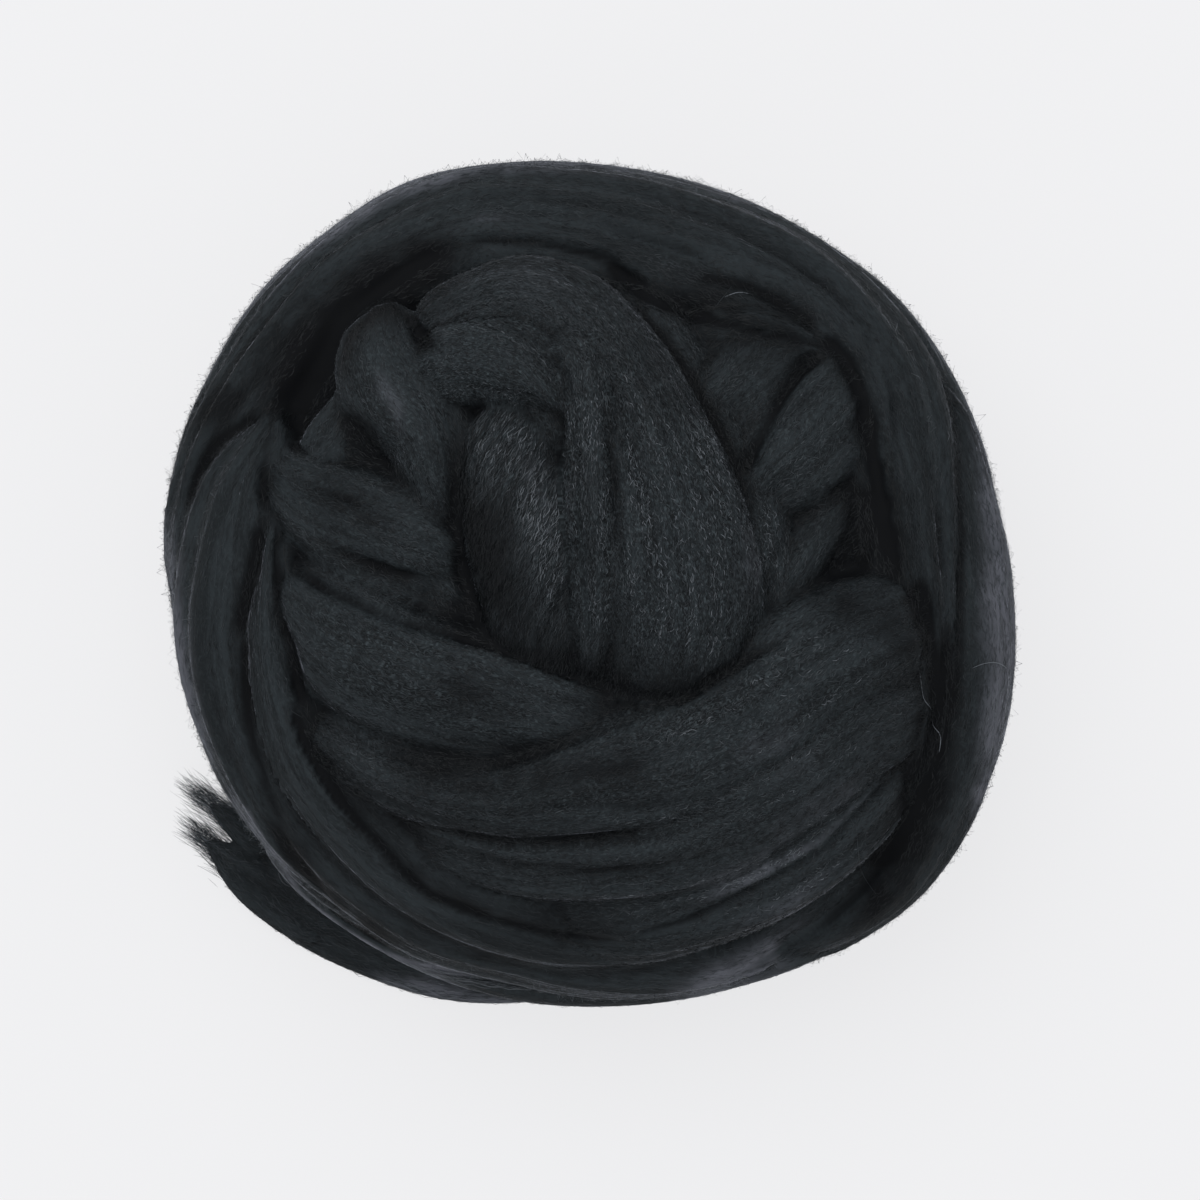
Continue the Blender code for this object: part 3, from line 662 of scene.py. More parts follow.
wind({
    "left_high": Strand(3, 1.1, 0, (
        (-62, 26, 62, 9, 9), (-58, 20, 75, 14, 13), (-52, 15, 80, 21, 15), (-44, 11, 84, 25, 16),
        (-35, 7, 86, 26, 16), (-26, 3, 85, 25, 15), (-16, -1, 80, 22, 12),
    )),
    "left_low": Strand(2, 0.8, 0, (
        (-60, 3, 68, 10, 10), (-57, -2, 77, 17, 13), (-51, -9, 83, 23, 15), (-43, -15, 87, 25, 16),
        (-34, -19, 89, 25, 16), (-24, -22, 90, 25, 16), (-13, -25, 90, 21, 15),
        (-3, -27, 88, 18, 14), (8, -28, 84, 16, 12), (18, -28, 78, 14, 10),
    )),
    "left_curl": Strand(1, 0.3, 0, (
        (-42, 40, 64, 8, 8), (-47, 33, 76, 11, 10), (-52, 26, 76, 12, 10), (-56, 19, 70, 10, 9),
    )),
    "right_high": Strand(2, 0.9, 0, (
        (46, 54, 62, 16, 12), (39, 47, 72, 20, 14), (31, 40, 79, 22, 15), (24, 33, 82, 22, 14),
        (16, 24, 80, 20, 12),
    )),
    "right_middle": Strand(2, 0.8, 0, (
        (55, 43, 62, 16, 12), (50, 37, 74, 21, 14), (42.5, 29, 81, 23, 15), (35, 21, 84, 23, 15),
        (26, 12, 82, 20, 12),
    )),
    "right_low": Strand(1, 0.5, 0, (
        (55, 20, 62, 10, 10), (49, 15, 74, 11, 12), (43, 8, 79, 12, 13), (38, 0, 80, 13, 13),
        (33, -9, 79, 14, 12), (27, -18, 74, 12, 10),
    )),
    "small_lobe": Strand(2, 0.6, 0, (
        (-42, 53.5, 65, 13, 11), (-41.5, 48, 78, 17.5, 14), (-40.5, 42, 84, 19, 15),
        (-37, 35.5, 87, 20, 15), (-31, 28, 88.5, 19, 15), (-28, 20, 88, 18, 15),
        (-25, 11, 85, 17, 13), (-22, 2, 80, 14, 10),
    )),
    "bed_left": Strand(1, 0.4, 0, (
        (-51, 32, 72, 8, 7), (-46, 29.5, 78.5, 12, 8), (-40.5, 25, 80.3, 12, 8),
        (-35, 20.5, 80.5, 10, 8),
    )),
    "bed_right": Strand(1, 0.4, 0, (
        (51.5, 21.5, 71, 8, 7), (47, 18, 76, 9, 7), (43.5, 15, 78, 9, 7), (40, 13, 79, 9, 7),
        (36, 11, 79, 9, 7), (32, 8.5, 78, 8, 7),
    )),
    "bed_gap": Strand(1, 0.4, 0, (
        (43, -5, 69, 8, 8), (46, 0, 73, 10, 8), (48.5, 5, 74, 11, 8), (51, 10, 74, 9, 8),
        (52.5, 16, 72, 8, 7),
    )),
    "bed_front": Strand(1, 0.4, 0, (
        (-35, 3, 79, 10, 8), (-29, -2.5, 84.2, 12, 8), (-24, -7, 84.6, 12, 8),
        (-17, -12.5, 84, 11, 8), (-9, -17, 82, 10, 8),
    )),
})


# ------------------------------------------------------------------------------------------------
# The fan. A wide part of the roving lies over the front in soft pleats, drawn together on the left
# and tucked under the rim on the right.

wind({
    "fan_upper": Strand(3, 0.8, 0, (
        (68, -8, 62, 20, 12), (61, -11, 74, 26, 15), (52, -15, 81, 29, 17), (43, -20, 85, 30, 18),
        (33, -28, 87, 29, 18), (18, -35, 89, 28, 18), (2, -39, 89, 25, 17), (-13, -42, 87, 20, 16),
        (-27, -41, 84, 17, 15), (-39, -37, 81, 15, 14), (-50, -30, 75, 12, 12),
        (-58, -22, 66, 8, 9),
    )),
    "fan_middle": Strand(3, 0.8, 0, (
        (67, -22, 61, 18, 12), (60, -26, 70, 24, 15), (51, -31, 77, 27, 17), (41, -38, 80, 28, 18),
        (28, -45, 82, 28, 18), (14, -50, 82, 27, 17), (-1, -52, 81, 25, 16), (-15, -52, 79, 21, 15),
        (-28, -48, 77, 17, 14), (-40, -41, 73, 13, 12),
    )),
    "fan_lower": Strand(2, 0.9, 0, (
        (64, -36, 55, 14, 11), (57, -44, 64, 17, 13), (47, -53, 68, 19, 15), (36, -60, 69, 20, 15),
        (23, -65, 69, 20, 15), (9, -68, 68, 19, 14), (-5, -67, 66, 17, 13), (-18, -64, 62, 13, 11),
    )),
})


# ------------------------------------------------------------------------------------------------
# The loop. The last of the roving comes from the left, turns over at the back and lies down the
# middle, where it stands highest. It has folded on itself, with one thin pleat along the fold and a
# little wool low down in it, and one more pass lies under it on the right.

wind({
    "under_loop": Strand(1, 0.4, 0, (
        (4, 56, 76, 12, 10), (12, 49, 79, 14, 10), (19, 39, 81, 14, 10), (25, 28, 83, 14, 10),
        (30, 15, 84, 14, 10), (32.5, 2, 83, 13, 10), (31, -10, 80, 12, 10), (25, -19, 76, 10, 8),
    )),
    "bed_fold": Strand(1, 0.4, 0, (
        (-15, 35, 90, 8, 7), (-10, 33, 92.8, 9, 8), (-6.5, 29, 93.8, 9, 8), (-5, 23, 93, 8, 8),
        (-4.5, 16, 91.5, 7, 7),
    )),
    "loop_left": Strand(1, 0.4, -28, (
        (-10, 39, 84, 13, 12), (-13, 32, 90, 18, 15), (-13.5, 23, 94, 21, 17),
        (-13, 13, 96, 22, 18), (-12, 3, 96, 21, 18), (-11, -7, 93, 19, 16), (-9, -15, 89, 17, 14),
        (-7, -23, 84, 15, 12), (-6, -31, 76, 12, 9),
    )),
    "loop_right": Strand(3, 0.7, 0, (
        (-36, 41, 77, 14, 14), (-31, 47, 84, 18, 18), (-23, 51, 88, 19, 22),
        (-14, 53.5, 90, 20, 24), (-5, 50.5, 92, 21, 25), (2.5, 42.5, 95, 23, 25),
        (8, 32, 97, 26, 25), (12, 20, 98.5, 31, 24), (15, 8, 98.5, 34, 24), (17, -4, 96, 34, 24),
        (16, -15, 91.5, 32, 20), (14, -24, 86, 29, 16), (12, -33, 78, 24, 11),
    )),
    "loop_pleat": Strand(1, 0.3, 0, (
        (-11, 46, 91, 9, 9), (-4, 43, 97, 9, 10), (-1, 35, 99, 9, 11), (0, 25, 100, 9, 11),
        (0, 14, 100, 9, 11), (1, 3, 98, 9, 11), (1, -7, 95, 8, 10), (0, -15, 90, 7, 9),
        (-1, -23, 84, 7, 8),
    )),
    "loop_fold": Strand(1, 0.4, 0, (
        (-36, 38, 80, 12, 10), (-29, 42, 88, 16, 14), (-21, 42.5, 93, 16, 15),
        (-14, 40.5, 96, 15, 15), (-8.5, 36.5, 97.5, 12, 14), (-5, 31, 96, 8, 11),
        (-4, 26, 91, 5, 8),
    )),
})


# ------------------------------------------------------------------------------------------------
# The creases. Passes that press on each other leave a narrow shadow between them, painted into the
# wool's colour, and so does each pleat. Painted highlights make combed wool paler where it turns over
# a crest, and painted shade makes it darker where it runs down beside one.

# A crease between passes, or a pleat in one. low is 1 where the wool to the left of the path lies
# lower, -1 where that to its right does, and 0 where neither does. width is half the crease's own,
# depth how far it's pressed in, reach how far the painted shadow beside it spreads and dark how dark
# it is painted, below 0 a painted highlight. path is where it shows from the camera, as x and y at
# the height of the ball's middle.
Crease = namedtuple("Crease", "low width depth reach dark path")


def shadow_and_highlight(reach, dark, *path):
    """Painted shadow alone, where the wool isn't pressed in, and a painted highlight where dark is below
    0.
    """
    return Crease(0, 1.0, 0.0, reach, dark, path)


CREASES = (
    # Along the rim's inner edge, from the back round to the left.
    Crease(-1, 2.2, 1, 3.6, 0.8, ((8, 60), (2, 61), (-9, 63.5), (-20, 64), (-26, 63), (-30, 62))),
    Crease(0, 2.2, 1.4, 3.6, 0.8, (
        (-26, 63), (-30, 61.5), (-34.5, 59.5), (-38, 56.5), (-42, 53.5), (-47, 50),
    )),
    Crease(0, 3.2, 1.6, 5, 0.9, ((-42, 54), (-47, 49), (-50, 44), (-53, 38), (-56, 33.5), (-59, 30.5))),
    Crease(0, 2, 0.3, 4, 1.2, ((-50, 32), (-46, 30), (-42, 27.5), (-38, 24.5))),
    # Along the rim's inner edge on the right, above and below the thin lock.
    Crease(0, 1.6, 1.2, 3.2, 1, ((0, 62), (3.5, 60), (6.5, 57.5), (10, 54.5), (14, 52.5), (19, 51))),
    Crease(0, 1.3, 1.1, 2.8, 1.2, (
        (13, 52.8), (17, 51.3), (22.5, 49.5), (28, 48), (34, 46.5), (40, 45.5), (46, 44),
    )),
    Crease(0, 1.2, 0.9, 2.5, 0.9, ((18, 58), (24, 57), (30, 55.7), (36, 52.7), (40.5, 50), (44.5, 46))),
    Crease(0, 1.8, 1.2, 3.6, 1.1, (
        (42, 46.5), (44.5, 46), (48, 42.5), (50.5, 37.5), (52.5, 32), (53.5, 24), (54.5, 16.5),
        (57, 10),
    )),
    Crease(0, 3.6, 0.8, 6, 1.8, (
        (45, 0.5), (49, 4), (52.5, 9), (53.5, 14), (56, 8), (58, 3), (61, -3),
    )),
    # Pleats in the rim.
    Crease(0, 1.3, 0.8, 2.5, 0.55, (
        (-2, 71.5), (5.5, 66.5), (11, 65), (16, 63.5), (20.5, 62), (24, 59), (26, 56),
    )),
    Crease(0, 1.2, 0.7, 2.3, 0.55, (
        (-66, 42), (-57, 53), (-49, 61), (-39, 68), (-27, 72.3), (-13, 73.3), (1, 71.5),
        (11, 68.3), (21, 64),
    )),
    Crease(0, 1, 0.9, 2.1, 0.8, ((66, 40), (68.5, 33), (69.5, 26), (70, 18), (70.5, 9.5), (70.3, -2))),
    Crease(0, 1, 0.7, 1.9, 0.6, ((54.5, 44), (57, 36), (57.7, 28), (58.5, 15), (61, 2), (64, -8))),
    Crease(0, 1, 0.7, 1.9, 0.6, ((62, 32), (64, 22), (65.5, 12), (66.5, 2), (67, -8))),
    Crease(0, 1, 0.5, 2.4, 0.4, ((2, 74.5), (14, 71.5), (26, 67), (36, 61.5), (46, 54.5), (55, 45))),
    Crease(0, 1, 0.5, 1.4, 0.3, ((51.5, 49), (53, 43), (54.5, 37))),
    Crease(0, 1.2, 1.2, 3, 1, ((-77, 13), (-74.5, 20), (-70, 26.5), (-66.5, 29.5), (-61, 32.5))),
    # Between the passes on the right of the nest.
    Crease(0, 1.5, 1.6, 2.4, 0.55, ((45.5, 44.5), (40, 40.5), (36.5, 35.5), (33, 29.5), (29, 22))),
    Crease(0, 1.8, 0.9, 2.2, 0.8, ((32, 25), (28, 21))),
    Crease(0, 1, 0.5, 1.3, 0.3, ((26, 46), (22, 41.5), (18, 36))),
    Crease(0, 0.9, 0.5, 1.2, 0.2, ((45, 37.5), (40, 34), (35, 29.5))),
    Crease(0, 1.2, 0.5, 2, 0.2, ((49.5, 19.5), (46, 17), (41, 13.5), (37, 12))),
    Crease(0, 1.4, 0.6, 1.6, 0.3, ((38, 9.5), (34, 3), (33, -4))),
    # Round the big loop and in its folds.
    Crease(1, 1.4, 0.8, 1.6, 0.15, (
        (8.5, 55), (11, 48), (13.5, 42.5), (19, 35), (24.5, 28), (27, 21.5), (30, 15.5), (32, 8),
        (34, 0),
    )),
    Crease(0, 0.9, 0.5, 0.9, 0.5, ((1.5, 38), (3, 30), (4.5, 22), (5.5, 13), (6, 2))),
    Crease(0, 1, 0.9, 1.1, 0.25, ((-4, 29), (-2.5, 23), (-2.5, 15), (-2, 4), (-1, -6), (1, -14))),
    Crease(-1, 1.6, 0.6, 2, 0.3, ((-29, 38), (-23, 37), (-14.5, 35), (-9.5, 34), (-6, 31), (-3, 26))),
    Crease(0, 1.3, 0.8, 1.7, 0.6, ((-17, 48.5), (-13.5, 46.5), (-9, 44), (-5, 39.5), (-2.5, 32))),
    Crease(0, 0.9, 0.4, 1.2, 0.2, ((-20, 54), (-16, 50.5))),
    Crease(0, 1.6, 0.8, 2.6, 0.9, ((-36, 57), (-35.5, 53), (-34, 49.5), (-31, 45.5), (-27, 41.5))),
    Crease(0, 2, 0.4, 4.2, 0.5, ((-26.5, 36), (-26, 24), (-25, 14), (-24, 3), (-21, -6))),
    Crease(1, 1.6, 0.4, 8, 1.2, (
        (-34, -7), (-17, -13), (-5, -17.5), (7.5, -21), (17, -22.5), (28, -16),
    )),
    Crease(1, 1.4, 0.7, 3, 0.5, ((10, -22), (17, -22.5), (27, -16.5), (35.5, -11.5), (43.5, -5))),
    # Over the passes on the left of the nest.
    Crease(0, 1.1, 0.8, 1.7, 1, ((-58, 21), (-52, 18), (-45, 15.5), (-38, 14))),
    Crease(0, 1, 0.7, 1.7, 0.9, ((-56, 11), (-50, 8), (-48, 6), (-42, 3.5), (-36.5, 1.5), (-24, 0))),
    Crease(0, 1.4, 1.1, 2, 0.7, (
        (-56, 2.5), (-50, -1), (-46.5, -2.5), (-42, -4.5), (-34, -7.5), (-28.5, -9), (-18, -12.5),
    )),
    Crease(0, 1.4, 1, 2.4, 0.9, ((-58, 32), (-61, 26), (-61.5, 20), (-61.5, 12))),
    Crease(0, 1.6, 1, 2.6, 0.9, ((-61.5, 13), (-62.5, 8), (-63.5, 2), (-65.5, -6), (-66.5, -12))),
    Crease(1, 1.3, 1.1, 1.8, 0.5, (
        (-59, 12), (-59, 1), (-59, -3), (-58.5, -7), (-57, -12.5), (-55.5, -19), (-54, -25),
    )),
    # Down the outside on the left.
    Crease(0, 1.2, 0.8, 2.2, 0.5, ((-73, -10), (-71, -20.5), (-69, -29), (-65, -39), (-62, -46))),
    Crease(0, 1.2, 0.9, 2.4, 0.7, (
        (-65, -8), (-65, -24.5), (-64, -31), (-61.5, -39), (-56.5, -50), (-53, -55), (-49, -61),
    )),
    Crease(0, 1.1, 0.7, 4, 1.9, (
        (-62, -42), (-58, -50), (-53, -57), (-47, -64), (-38, -70.3), (-29, -73.3),
    )),
    # Between the fan and the passes round it, and the fan's own pleats.
    Crease(1, 1.9, 1.1, 7, 1.05, (
        (-57, -22), (-54.5, -30), (-51, -36), (-48, -41), (-43.5, -46.5), (-39, -51), (-35, -55.5),
        (-30, -59.5), (-24.5, -61.5), (-18.5, -64), (-6, -67), (8, -69),
    )),
    Crease(1, 1.4, 0.5, 3.2, 0.35, (
        (-46, -28), (-42.5, -29.5), (-36, -33), (-29.5, -35.5), (-25.5, -36), (-21.5, -36),
        (-14.5, -33.5), (-6.5, -31), (2, -28), (12, -25),
    )),
    Crease(0, 1.2, 0.7, 2.2, 0.7, (
        (-49, -38), (-44.5, -39), (-40, -40.5), (-34, -43.5), (-28.5, -45), (-25, -47), (-20, -48),
        (-12, -48.5), (2, -48.5), (17, -48),
    )),
    Crease(0, 1.1, 0.6, 1.8, 0.6, ((-28, -49), (-14.5, -53.5), (2, -54.5), (18, -52.5))),
    Crease(0, 1.1, 0.6, 1.6, 0.5, ((-22, -40), (-8, -42.5), (8, -42.5), (22, -39.5))),
    Crease(1, 1.6, 1.3, 3.4, 0.5, (
        (58, -35), (51.5, -42.5), (44, -50.5), (38.5, -53.5), (34.5, -56), (27.5, -59.5),
        (22, -62), (16.5, -64.5), (6, -67.5),
    )),
    Crease(0, 1.2, 0.6, 1.6, 0.45, ((20, -71), (8, -73.5), (-4, -74), (-16, -72.5))),
    Crease(0, 0.9, 0.5, 1.4, 0.2, ((50, -41), (50.5, -49), (51, -54.5), (55, -61))),
    # Down the outside on the right.
    Crease(0, 3, 1.2, 4.6, 1.4, (
        (60, 2), (63, -5), (66, -14), (67, -23), (65.5, -31), (62, -39), (58, -47.5), (53, -55.5),
    )),
    Crease(0, 1.6, 1, 2.2, 0.8, (
        (56, -51), (51, -58), (45.5, -63.8), (40, -67.6), (33, -71.7), (26, -75),
    )),
    Crease(0, 1.2, 0.9, 2, 0.9, (
        (70.3, 6), (70, -6), (69.5, -16), (69, -26), (67.5, -36), (64.5, -45),
    )),
    # Shadows: where the rim dips on the left, down both sides of the loop, across the top of the
    # fan, between its pleats, and where passes drop over the edge.
    shadow_and_highlight(1.6, 0.6, (-2, 30), (-0.5, 20), (0, 8), (0.5, -8)),
    shadow_and_highlight(8, 1.8, (-66, 31), (-59, 37), (-53, 43), (-45, 52), (-37, 58), (-28, 61.5), (-19, 63)),
    shadow_and_highlight(6.5, 1.5, (-22.5, 24), (-22, 15), (-20, 8), (-18, 0), (-14, -8), (-8, -15)),
    shadow_and_highlight(6, 0.6, (6, 53), (12, 43), (17, 34), (21, 25)),
    shadow_and_highlight(6, 0.5, (-44, -40), (-34, -44), (-20, -45.5), (-6, -46), (8, -46)),
    shadow_and_highlight(5.5, 1.05, (-42, -32), (-32, -35.5), (-20, -37), (-8, -36.5), (6, -35), (18, -32)),
    shadow_and_highlight(5, 0.6, (-32, -61), (-20, -65.5), (-6, -68), (6, -68)),
    shadow_and_highlight(5.5, 0.8, (-2, -6), (1, -12), (6, -17), (13, -19), (21, -17.5), (28, -13)),
    shadow_and_highlight(6.5, 1, (36, -6), (44, -4), (54, -5), (60, -10), (61, -24)),
    shadow_and_highlight(6, 0.8, (-34, -16), (-22, -21), (-8, -24)),
    shadow_and_highlight(3, 0.7, (-34, 33), (-31, 26), (-29, 20)),
    shadow_and_highlight(5, 1.3, (-77, 29), (-70, 32.5), (-62, 36)),
    shadow_and_highlight(8, 0.8, (-56, 19), (-44, 13), (-32, 9)),
    shadow_and_highlight(5, 0.6, (48, 8), (54, 14)),
    shadow_and_highlight(5, 1.5,
        (66.5, -6), (67, -16), (66.5, -26), (65.5, -35), (64, -42), (60.5, -50), (56, -57),
        (50, -63.5), (45, -68)),
    shadow_and_highlight(6, 0.6, (-62, -36), (-58, -46), (-50, -57), (-40, -65), (-24, -70), (-4, -71)),
    shadow_and_highlight(6.5, 1.1, (10, 57), (20, 54), (32, 48.5), (42, 45), (48, 41)),
    shadow_and_highlight(5, 0.35, (38, 62), (50, 52), (58, 40), (64, 28)),
    shadow_and_highlight(4, 0.45, (-8, 67), (8, 66), (20, 62)),
    # Painted highlights: on the crests of the rim, of the small lobe and of the fan's pleats, the fold,
    # the strand down the right edge, and all round where the ball turns down.
    shadow_and_highlight(2, -0.6, (-6.5, 27), (-5.5, 18), (-5, 6), (-5, -14)),
    shadow_and_highlight(3, -0.6, (-20, 33), (-12, 33)),
    shadow_and_highlight(3, -0.5, (-28, 10), (-27, 4), (-27, -3)),
    shadow_and_highlight(2.6, -0.95, (14, -60), (22, -58.3), (29, -55.3), (36, -52), (42, -49), (48, -45)),
    shadow_and_highlight(3, -0.6, (20, -66.5), (29, -64), (37, -60.5), (44, -55.5), (51, -50)),
    shadow_and_highlight(3.2, -1.7, (14, -78.5), (21, -77), (28, -74), (34, -70.5), (39, -66.5), (44, -61.5)),
    shadow_and_highlight(2.6, -0.9, (44, -61.5), (49, -56.5), (54, -51)),
    shadow_and_highlight(4.5, -0.7, (32, -50), (42, -46.5), (52, -40.5), (58, -35)),
    shadow_and_highlight(2.6, -0.6, (-58, 54), (-47, 62.5), (-35, 67.3), (-20, 68.3), (-6, 68)),
    shadow_and_highlight(3.2, -0.6, (-44, 48.5), (-41, 41), (-37.5, 34), (-34, 27), (-32, 20)),
    shadow_and_highlight(7, -2.2, (76, 40), (80, 24), (82, 8), (82, -6), (81.5, -16), (80, -28), (75, -42)),
    shadow_and_highlight(1.6, -0.8, (-24, -57.5), (-10, -60.3), (4, -60.2), (16, -59)),
    shadow_and_highlight(2.8, -0.6, (-54, -19.5), (-49, -25), (-42, -28.5), (-34, -31)),
    shadow_and_highlight(6.5, -0.35, (-30, 52), (-20, 57), (-8, 57), (0, 52)),
    shadow_and_highlight(3.8, -0.5, (-15.5, 31), (-12.5, 25), (-9.5, 17), (-6.5, 9), (-5.5, 1)),
    shadow_and_highlight(4.5, -0.7, (30, 16), (33, 7), (33.5, -3), (30, -12)),
    shadow_and_highlight(8, -0.35, (24, -32), (36, -32), (46, -29)),
    shadow_and_highlight(3.2, -1.2, (74, 38), (78, 24), (80, 12)),
    shadow_and_highlight(3.2, -1.5, (79, -26), (76, -36), (71, -46)),
    shadow_and_highlight(3, -1.8, (-81, 18), (-81, 4), (-79, -12), (-76, -26), (-70, -38)),
    shadow_and_highlight(3, -1.8,
        (-80, 30), (-75, 42), (-66, 54), (-54, 64), (-38, 74), (-20, 80), (0, 81), (20, 78),
        (36, 71)),
    # A painted highlight: the pale streak along the lower left edge.
    shadow_and_highlight(1.4, -2.6,
        (-69, -38), (-64, -46), (-59, -53), (-54, -60), (-47, -66.5), (-40, -70.5), (-32, -73),
        (-18, -75.6)),
)

ball = melt("roving_ball", passes.values(), grain=1.06, smoothing=6, creases=CREASES)
ball.data.materials.append(charcoal)
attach(ball, "root")
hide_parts("wound_ball")


# ------------------------------------------------------------------------------------------------
# The loose end. The roving's other end comes out from under the ball at the lower left, lies on the
# table and thins out to two soft locks.

END = {
    "band": Strand(2, 0.5, 0, (
        (16, -48, 5, 16, 8), (5, -64, 7, 23, 10), (-9, -68.5, 8, 25, 11), (-26, -68.5, 8, 26, 11),
        (-43, -63, 8, 26, 11), (-56, -56.5, 8, 24, 10), (-65.5, -52, 7, 14, 8),
    )),
    "upper_lock": Strand(1, 0.2, 0, (
        (-57, -53, 7, 11, 7), (-66.5, -48, 7, 7, 6), (-74, -42.5, 6, 4, 3.2),
    )),
    "lower_lock": Strand(1, 0.2, 0, (
        (-44, -67.5, 6.5, 11, 6), (-52, -65.5, 6.5, 12, 7), (-60, -60.5, 6.5, 12, 7),
        (-68, -55.2, 6, 9, 5), (-74.5, -50, 4.5, 4, 3.2),
    )),
}
end_passes = {key: draw_strand(s, 90 + k, facing=upward) for k, (key, s) in enumerate(END.items())}
# Painted shadow down the middle of the loose end, and a painted highlight along its lower edge.
END_SHADOWS_AND_HIGHLIGHTS = (
    shadow_and_highlight(8, 0.8, (-28, -68), (-44, -62), (-54, -55), (-62, -49), (-67, -45)),
    shadow_and_highlight(2.8, -1.1, (-46, -72), (-36, -76), (-22, -78.8), (-6, -80), (6, -80)),
)
loose_end = melt("loose_roving_end", end_passes.values(), grain=0.8, smoothing=4, creases=END_SHADOWS_AND_HIGHLIGHTS)
loose_end.data.materials.append(charcoal)
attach(loose_end, "root")
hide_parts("loose_end")


# ------------------------------------------------------------------------------------------------
# The fibres. Wool that has been combed but not spun is never smooth: single fibres, finely waved,
# lie loose all over it, and some stand up from it as fuzz.

def plain_material(name, colour, roughness, specular):
    """A material of one even colour, and its shader."""
    material = bpy.data.materials.new(name)
    material.use_nodes = True
    shader = material.node_tree.nodes["Principled BSDF"]
    shading = {"Base Color": (*colour, 1.0), "Roughness": roughness, "Specular IOR Level": specular}
    set_inputs(shader, shading)
    return material, shader


# The fibres' tones, from pale to black, and the share of the fibres that has each.
TONES = {
    "fibre_glint": (0.090, 0.100, 0.112),
    "fibre_pale": (0.045, 0.052, 0.058),
    "fibre_grey": (0.023, 0.0275, 0.0315),
    "fibre_charcoal": (0.0125, 0.0152, 0.0176),
    "fibre_black": (0.0050, 0.0062, 0.0073),
}
TONE_SHARES = (0.04, 0.13, 0.27, 0.30, 0.26)
tones = [plain_material(name, colour, 0.6, specular=0.15)[0] for name, colour in TONES.items()]

# The knots of a fibre, its width, how far off the skin its pass may be, how near the table it may
# come and how far it leans, in radians.
KNOTS = 3
FIBRE_WIDTH = 0.11
MOST_OFF_SKIN = 0.9
LEAST_HEIGHT = 0.05
MOST_LEAN = 0.8

# Fibres side by side share a lock, this long and this broad, which sets so much of their tone. On a
# crest of more than CREST_FROM they take a painted highlight, and in a hollow of BLACK_HOLLOW painted
# shade makes them all black.
LOCK_LENGTH, LOCK_BREADTH, LOCK_SHARE = 34, 1.5, 0.22
CREST_SHARE, CREST_FROM, BLACK_HOLLOW = 0.45, 0.35, 1.2


def sampled(values, ring, place):
    """values of a grid at fractions of a ring and of a place: the mean of four, by nearness."""
    low, left = np.floor(ring).astype(int), np.floor(place).astype(int)
    low = np.clip(low, 0, values.shape[0] - 2)
    left = np.clip(left, 0, values.shape[1] - 2)
    up, right = (ring - low)[..., None], (place - left)[..., None]
    first = values[low, left] * (1 - right) + values[low, left + 1] * right
    second = values[low + 1, left] * (1 - right) + values[low + 1, left + 1] * right
    return first * (1 - up) + second * up


def lay_fibres(grid, count, length, stray, seed):
    """The lines of count fibres on a pass, as (fibre, knot, 3) in millimetres, and each one's lock.

    A fibre runs along the pass from a random place, at a random small angle off the pass's own
    fibres, and waves across as a sine. A grid's mean spacing turns its millimetres into steps. The
    lock is soft noise from -1 to 1, drawn out along the pass, which fibres side by side share.
    """
    random = np.random.default_rng(seed)
    face = grid.points[:, :grid.face_places]
    rings, places = face.shape[:2]
    run = grid.along[:, :1]
    ring_gap = float(np.diff(run[:, 0]).mean())
    place_gap = np.linalg.norm(np.diff(face, axis=1), axis=2).mean(axis=1)
    slant = (grid.flow[-1, 0] - grid.flow[0, 0]) / run[-1, 0]
    part = np.linspace(-0.5, 0.5, KNOTS)[None]
    size = length * random.uniform(0.55, 1.45, (count, 1))
    ring = random.uniform(0, rings - 1, (count, 1))
    place = random.uniform(0.5, places - 1.5, (count, 1))
    angle = random.normal(0, stray, (count, 1)) - np.arctan(slant)
    phase = random.uniform(0, 2 * math.pi, (count, 1))
    wave = random.uniform(0.6, 1.5, (count, 1)) * CRIMP_WIDTH
    bend = random.normal(0, 0.5, (count, 1)) * part**2 * size
    forward = part * size
    sidestep = wave * np.sin(2 * math.pi * forward / CRIMP_LENGTH + phase) + bend
    rings_at = ring + (forward * np.cos(angle) - sidestep * np.sin(angle)) / ring_gap
    gap = place_gap[np.clip(ring, 0, rings - 1).astype(int)]
    places_at = place - (forward * np.sin(angle) + sidestep * np.cos(angle)) / gap
    inside = (
        (rings_at > 0) & (rings_at < rings - 1) & (places_at > 0) & (places_at < places - 1)
    ).all(1)
    flow = sampled(grid.flow[:, :grid.face_places, None], ring[inside, 0], place[inside, 0])[:, 0]
    lock = wander(ring[inside, 0] * ring_gap / LOCK_LENGTH, flow / LOCK_BREADTH, seed)
    return sampled(face, rings_at[inside], places_at[inside]), lock


